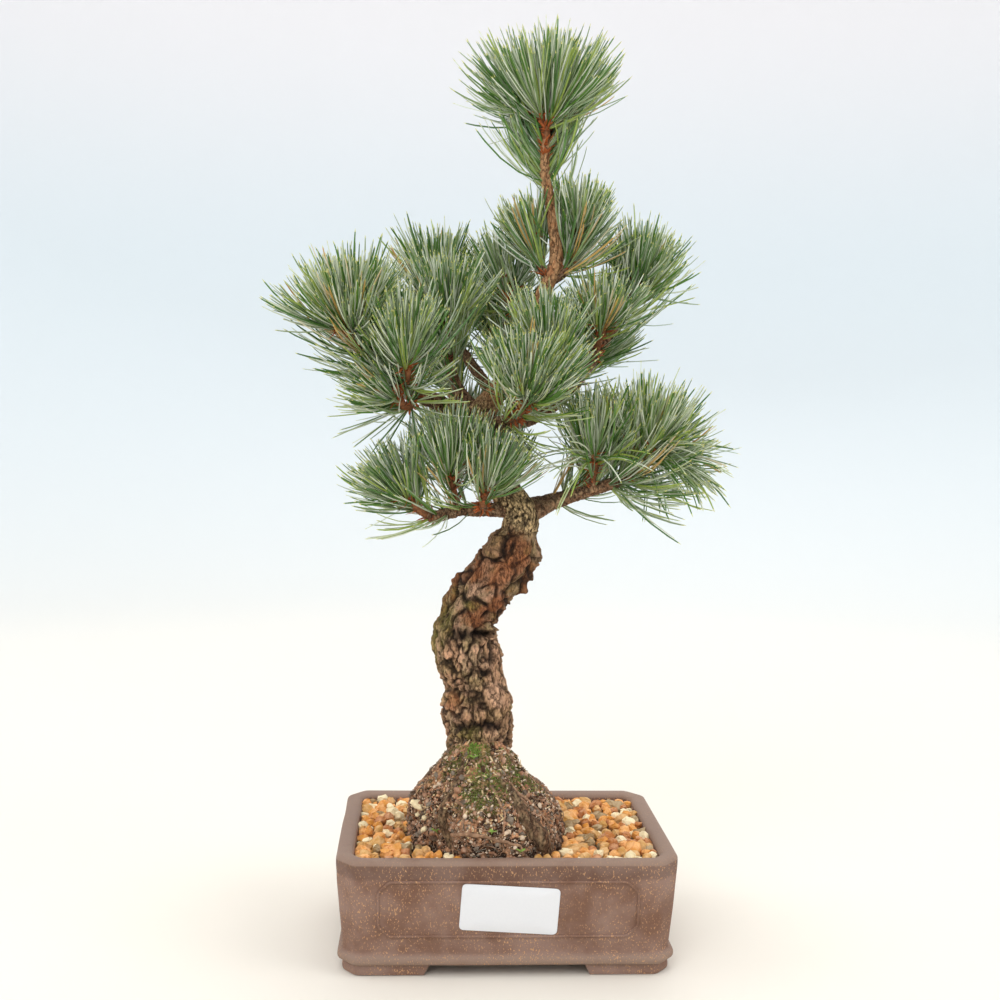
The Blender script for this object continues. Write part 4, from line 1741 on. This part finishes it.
def clear_of_limbs(paths):
    """Whether each needle keeps off the trunk and boughs: no point of its outer part is nearer
    to a limb's middle line than the limb is thick."""
    middles, radii = [], []
    for path in limb_paths().values():
        place, _, radius, _ = path.even(max(4, int(path.lengths[-1] / 3)))
        middles.append(place[:-2])
        radii.append(radius[:-2])
    middles, radii = np.concatenate(middles), np.concatenate(radii)
    kept = np.ones(len(paths), bool)
    for k in range(1, paths.shape[1]):
        for first in range(0, len(paths), 1500):
            part = slice(first, first + 1500)
            gap = paths[part, k, None] - middles[None]
            kept[part] &= np.all(np.linalg.norm(gap, axis=-1) > radii + 0.5, axis=1)
    return kept


def within_space(paths, site, sites):
    """Whether each needle stays in its shoot's space, or no more than a little past the border
    that lies midway to another shoot's heart."""
    kept = np.ones(len(paths), bool)
    for other in sites:
        apart = other["heart"] - site["heart"]
        gap = np.linalg.norm(apart)
        if gap < 1e-6 or gap > 110:
            continue
        past = (paths[:, -1] - site["heart"]) @ (apart / gap) - 0.5 * gap
        kept &= past < max(9.0, 0.12 * gap)
    return kept


NEEDLE_STATIONS = np.array([0, 0.14, 0.38, 0.64, 0.86, 0.965, 1.0])
NEEDLE_WIDTHS = np.array([0.6, 0.95, 1.0, 1.0, 0.94, 0.7])
NEEDLE_SECTION = np.array([(1.0, 0.42), (-1.0, 0.42), (0.0, -0.62)])
# Range of tone that takes each tint, and its colour on a screen
NEEDLE_TINTS = {
    "green": (0.0, 0.32, (76, 118, 36)),
    "cool": (0.32, 0.6, (70, 108, 46)),
    "grey": (0.6, 0.84, (120, 142, 88)),
    "fresh": (0.84, 0.975, (146, 166, 74)),
    "old": (0.975, 1.01, (190, 152, 84)),
}


def build_needles(options, sites):
    """Every needle as a three-sided tapering blade: a green outer face, a blue-white inner face
    and a flank between them in tone, with a pale point. Tone deals the bundles into five tints."""
    grown = []
    for site in sites:
        rng = np.random.default_rng(site["seed"] + NEEDLE_DRAWS)
        bundles = needle_bundles(site, options.bundles)
        length = NEEDLE_LENGTH * site["reach"] * site["tuft"][2]
        part = needles_of(bundles, length, site["droop"], options, rng)
        kept = within_space(part[0], site, sites)
        grown.append([array[kept] for array in part])
    rng = np.random.default_rng(OLDER_DRAWS)
    for bundles in older_bundles():
        path, out, tone = needles_of(bundles, 0.97 * NEEDLE_LENGTH, 0, options, rng)
        grown.append((path, out, 0.25 + 0.75 * tone))
    paths, out, tone = (np.concatenate([part[k] for part in grown]) for k in range(3))
    low, high = ((FULL_REACH * corner / MM - SHIFT)[:2] for corner in FRAME_BOX)
    tips = paths[:, -1, :2]
    free = clear_of_limbs(paths) & np.all((tips < high) & (tips > low), axis=1)
    paths, out, tone = paths[free], out[free], tone[free]
    widths = 0.5 * options.width / MM * NEEDLE_WIDTHS
    for name, (low, high, colour) in NEEDLE_TINTS.items():
        chosen = (tone >= low) & (tone < high)
        centres = paths[chosen][:, :-1]
        radii = np.broadcast_to(widths, centres.shape[:2])
        shape = tubes(centres, radii, NEEDLE_SECTION, out[chosen], paths[chosen][:, -1])
        quads, caps = shape[1]
        stations = centres.shape[1]
        side = np.arange(len(quads)) % ((stations - 1) * 3) % 3
        kinds = np.where(side == 2, 3, side)
        ends = np.where(np.arange(len(caps)) % 6 < 3, 0, 2)
        pale = 0.72 if name in ("fresh", "old") else 1.0
        faces = (("", 0.42, 0.5, srgb(*colour)), ("_inner", 0.5, 0.45, 0.78 * pale),
                 ("_tip", 0.45, 0.4, options.tip), ("_flank", 0.45, 0.5, 0.26 * pale))
        finishes = []
        for face, rough, shine, tint in faces:
            if isinstance(tint, float):
                tint = blend(srgb(*colour), options.inner, tint).tolist()
            finishes.append(Finish(f"needle_{name}{face}", rough, shine).coloured(tuple(tint)))
        add_piece(f"needles_{name}", shape, finishes, "needles", MASSES,
                  kinds=np.concatenate([kinds, ends]), soft=False)


# Stage


PHOTO_WIDTH = 1000
SENSOR_WIDTH = 36
CAMERA_PLACE = np.array([-40.004, -647.673, 247.069])
CAMERA_PITCH = 0.057789
CAMERA_YAW = 0.055984
CAMERA_ROLL = 0.016910
FOCAL_PIXELS = 1358.933
# The studio in metres: the wall's radius and height, the sweep from the floor to it, and its sides
STUDIO_RADIUS, STUDIO_HEIGHT, STUDIO_SWEEP, STUDIO_SIDES = 2.3, 3.0, 1.1, 96
# Lamps: place and width in metres, and power as a share of the key light's
LAMPS = {
    "lamp_front": ((-0.55, -1.25, 1.35), 1.3, 1),
    "lamp_right": ((1.35, -0.6, 1.1), 1.2, 0.66),
    "lamp_left": ((-1.45, 0.1, 1.0), 1.2, 0.42),
    "lamp_top": ((0.1, 0.2, 1.9), 1.5, 1.25),
    "lamp_back": ((0.3, 1.3, 1.2), 1.2, 0.35),
}


def place_camera():
    """The camera that the photograph was taken from: place, and turns about three axes."""
    pitch, yaw, roll = CAMERA_PITCH, CAMERA_YAW, CAMERA_ROLL
    ahead = np.array([np.sin(yaw) * np.cos(pitch), np.cos(yaw) * np.cos(pitch), -np.sin(pitch)])
    level = np.array([np.cos(yaw), -np.sin(yaw), 0.0])
    above = np.cross(level, ahead)
    right = level * np.cos(roll) + above * np.sin(roll)
    up = above * np.cos(roll) - level * np.sin(roll)
    data = bpy.data.cameras.new("camera")
    data.sensor_width = SENSOR_WIDTH
    data.lens = FOCAL_PIXELS / PHOTO_WIDTH * SENSOR_WIDTH
    data.clip_start, data.clip_end = 0.01, 20
    camera = new_object("camera", data)
    turn = Matrix(np.stack([right, up, -ahead], -1).tolist()).to_4x4()
    camera.matrix_world = Matrix.Translation(Vector((CAMERA_PLACE + SHIFT) * MM)) @ turn
    bpy.context.scene.camera = camera


def add_lamp(name, place, size, power, target=(0, 0, 0.2)):
    data = bpy.data.lights.new(name, "AREA")
    data.shape, data.size, data.energy = "DISK", size, power
    lamp = new_object(name, data)
    lamp.location = place
    lamp.rotation_euler = (Vector(target) - Vector(place)).to_track_quat("-Z", "Y").to_euler()


def studio_floor():
    """A bowl-shaped studio: a flat floor that sweeps up into a wall all round, a line of reach
    and height turned about the upright axis as one surface."""
    flat_reach = STUDIO_RADIUS - STUDIO_SWEEP
    bend = np.linspace(0, np.pi / 2, 24)
    flat = np.linspace(0.02, flat_reach, 12, endpoint=False)
    reach = np.concatenate([flat, flat_reach + STUDIO_SWEEP * np.sin(bend), [STUDIO_RADIUS]])
    rise = STUDIO_SWEEP - STUDIO_SWEEP * np.cos(bend)
    height = np.concatenate([0 * flat, rise, [STUDIO_HEIGHT]])[:, None]
    flat_rings = reach[:, None, None] * round_section(STUDIO_SIDES)
    rings = np.dstack([flat_rings, height + 0 * flat_rings[..., 0]]).reshape(-1, 3)
    j = np.arange(STUDIO_SIDES)
    fan = np.stack([0 * j + len(rings), j, (j + 1) % STUDIO_SIDES], -1)
    faces = [grid_faces(len(reach), STUDIO_SIDES, looped=False), fan]
    return mesh_of("studio_floor", np.vstack([rings, [[0, 0, 0]]]), faces)


def build_stage(options):
    """The studio in a paper finish that pales with distance and height, and large soft lamps."""
    finish = Finish("studio_paper", roughness=0.95, specular=0.0)
    far = finish.node("ShaderNodeVectorMath", {0: finish.place}, operation="LENGTH")
    distant = finish.between(far.outputs["Value"], 0.15, 2.4)
    low = finish.mixed(distant, options.floor, options.wall)
    finish.coloured(finish.mixed(finish.between(finish.height(), 0.5, 1.2), low, options.haze))
    floor = new_object("studio_floor", studio_floor())
    floor.data.materials.append(finish.material)
    for name, (place, size, share) in LAMPS.items():
        add_lamp(name, place, size, share * options.key)
    for k, turn in enumerate(full_turn(4)):
        x, y = 1.1 * np.cos(turn), 1.1 * np.sin(turn)
        add_lamp(f"wash_{k}", (x, y, 1.75), 0.8, options.wash, (2.1 * x, 2.1 * y, 0.9))
    world = bpy.data.worlds.new("studio_light")
    world.use_nodes = True
    surround = world.node_tree.nodes["Background"]
    surround.inputs["Color"].default_value = (0.95, 0.97, 1.0, 1.0)
    surround.inputs["Strength"].default_value = options.sky
    bpy.context.scene.world = world
    bpy.context.scene.view_settings.view_transform = "Standard"
    place_camera()


# Operators


class BonsaiOperator(bpy.types.Operator):
    """One group of pieces of the bonsai"""

    bl_options = {"REGISTER", "UNDO"}


class BONSAI_OT_pot(BonsaiOperator):
    """Build the pot: shell, feet, panel lines and drain holes"""

    bl_idname = "bonsai.pot"
    bl_label = "Pot"

    def execute(self, context):
        build_pot(context.scene.bonsai_pot)
        return {"FINISHED"}


class BONSAI_OT_label(BonsaiOperator):
    """Build the blank paper label"""

    bl_idname = "bonsai.label"
    bl_label = "Label"

    def execute(self, context):
        build_label(context.scene.bonsai_pot)
        return {"FINISHED"}


class BONSAI_OT_soil(BonsaiOperator):
    """Give the soil under the gravel its finish"""

    bl_idname = "bonsai.soil"
    bl_label = "Soil"

    def execute(self, context):
        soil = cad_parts["soil"]
        finish = stone_finish("potting_soil", context.scene.bonsai_ground.soil, 0.0012)
        soil.data.materials.clear()
        soil.data.materials.append(finish.material)
        return {"FINISHED"}


class BONSAI_OT_gravel(BonsaiOperator):
    """Build the bed of pebbles"""

    bl_idname = "bonsai.gravel"
    bl_label = "Gravel"

    def execute(self, context):
        build_gravel(context.scene.bonsai_ground)
        return {"FINISHED"}


class BONSAI_OT_mound(BonsaiOperator):
    """Build the root mound with its grit, moss, rootlets and seedlings"""

    bl_idname = "bonsai.mound"
    bl_label = "Root mound"

    def execute(self, context):
        build_mound(context.scene.bonsai_ground)
        return {"FINISHED"}


class BONSAI_OT_trunk(BonsaiOperator):
    """Build the trunk and surface roots with their bark"""

    bl_idname = "bonsai.trunk"
    bl_label = "Trunk"

    def execute(self, context):
        build_trunk(context.scene.bonsai_bark)
        return {"FINISHED"}


class BONSAI_OT_boughs(BonsaiOperator):
    """Build the boughs and twigs with their bark"""

    bl_idname = "bonsai.boughs"
    bl_label = "Boughs"

    def execute(self, context):
        build_boughs(context.scene.bonsai_bark)
        return {"FINISHED"}


class BONSAI_OT_needles(BonsaiOperator):
    """Grow the shoots, bud scales and needles"""

    bl_idname = "bonsai.needles"
    bl_label = "Shoots and needles"

    def execute(self, context):
        sites = shoot_sites()
        build_shoots(context.scene.bonsai_needles, sites)
        build_needles(context.scene.bonsai_needles, sites)
        return {"FINISHED"}


class BONSAI_OT_stage(BonsaiOperator):
    """Set up the floor, the light and the camera"""

    bl_idname = "bonsai.stage"
    bl_label = "Studio"

    def execute(self, context):
        build_stage(context.scene.bonsai_stage)
        return {"FINISHED"}


OPERATORS = (
    BONSAI_OT_stage, BONSAI_OT_pot, BONSAI_OT_label, BONSAI_OT_soil, BONSAI_OT_gravel,
    BONSAI_OT_mound, BONSAI_OT_trunk, BONSAI_OT_boughs, BONSAI_OT_needles,
)


class BONSAI_PT_sidebar(bpy.types.Panel):
    """Lists the bonsai's pieces and settings"""

    bl_idname = "BONSAI_PT_sidebar"
    bl_label = "White Pine Bonsai"
    bl_space_type = "VIEW_3D"
    bl_region_type = "UI"
    bl_category = "Bonsai"

    def draw(self, context):
        for kind in OPERATORS:
            self.layout.operator(kind.bl_idname)
        for name, group in SETTINGS.items():
            box = self.layout.box()
            for key in group.__annotations__:
                box.prop(getattr(context.scene, name), key)


CLASSES = (*SETTINGS.values(), *OPERATORS, BONSAI_PT_sidebar)


def register():
    for kind in CLASSES:
        bpy.utils.register_class(kind)
    for name, group in SETTINGS.items():
        setattr(bpy.types.Scene, name, bpy.props.PointerProperty(type=group))


def unregister():
    for name in SETTINGS:
        delattr(bpy.types.Scene, name)
    for kind in reversed(CLASSES):
        bpy.utils.unregister_class(kind)


def main():
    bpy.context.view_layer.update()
    register()
    for kind in OPERATORS:
        family, name = kind.bl_idname.split(".")
        getattr(getattr(bpy.ops, family), name)()


if __name__ == "__main__":
    main()
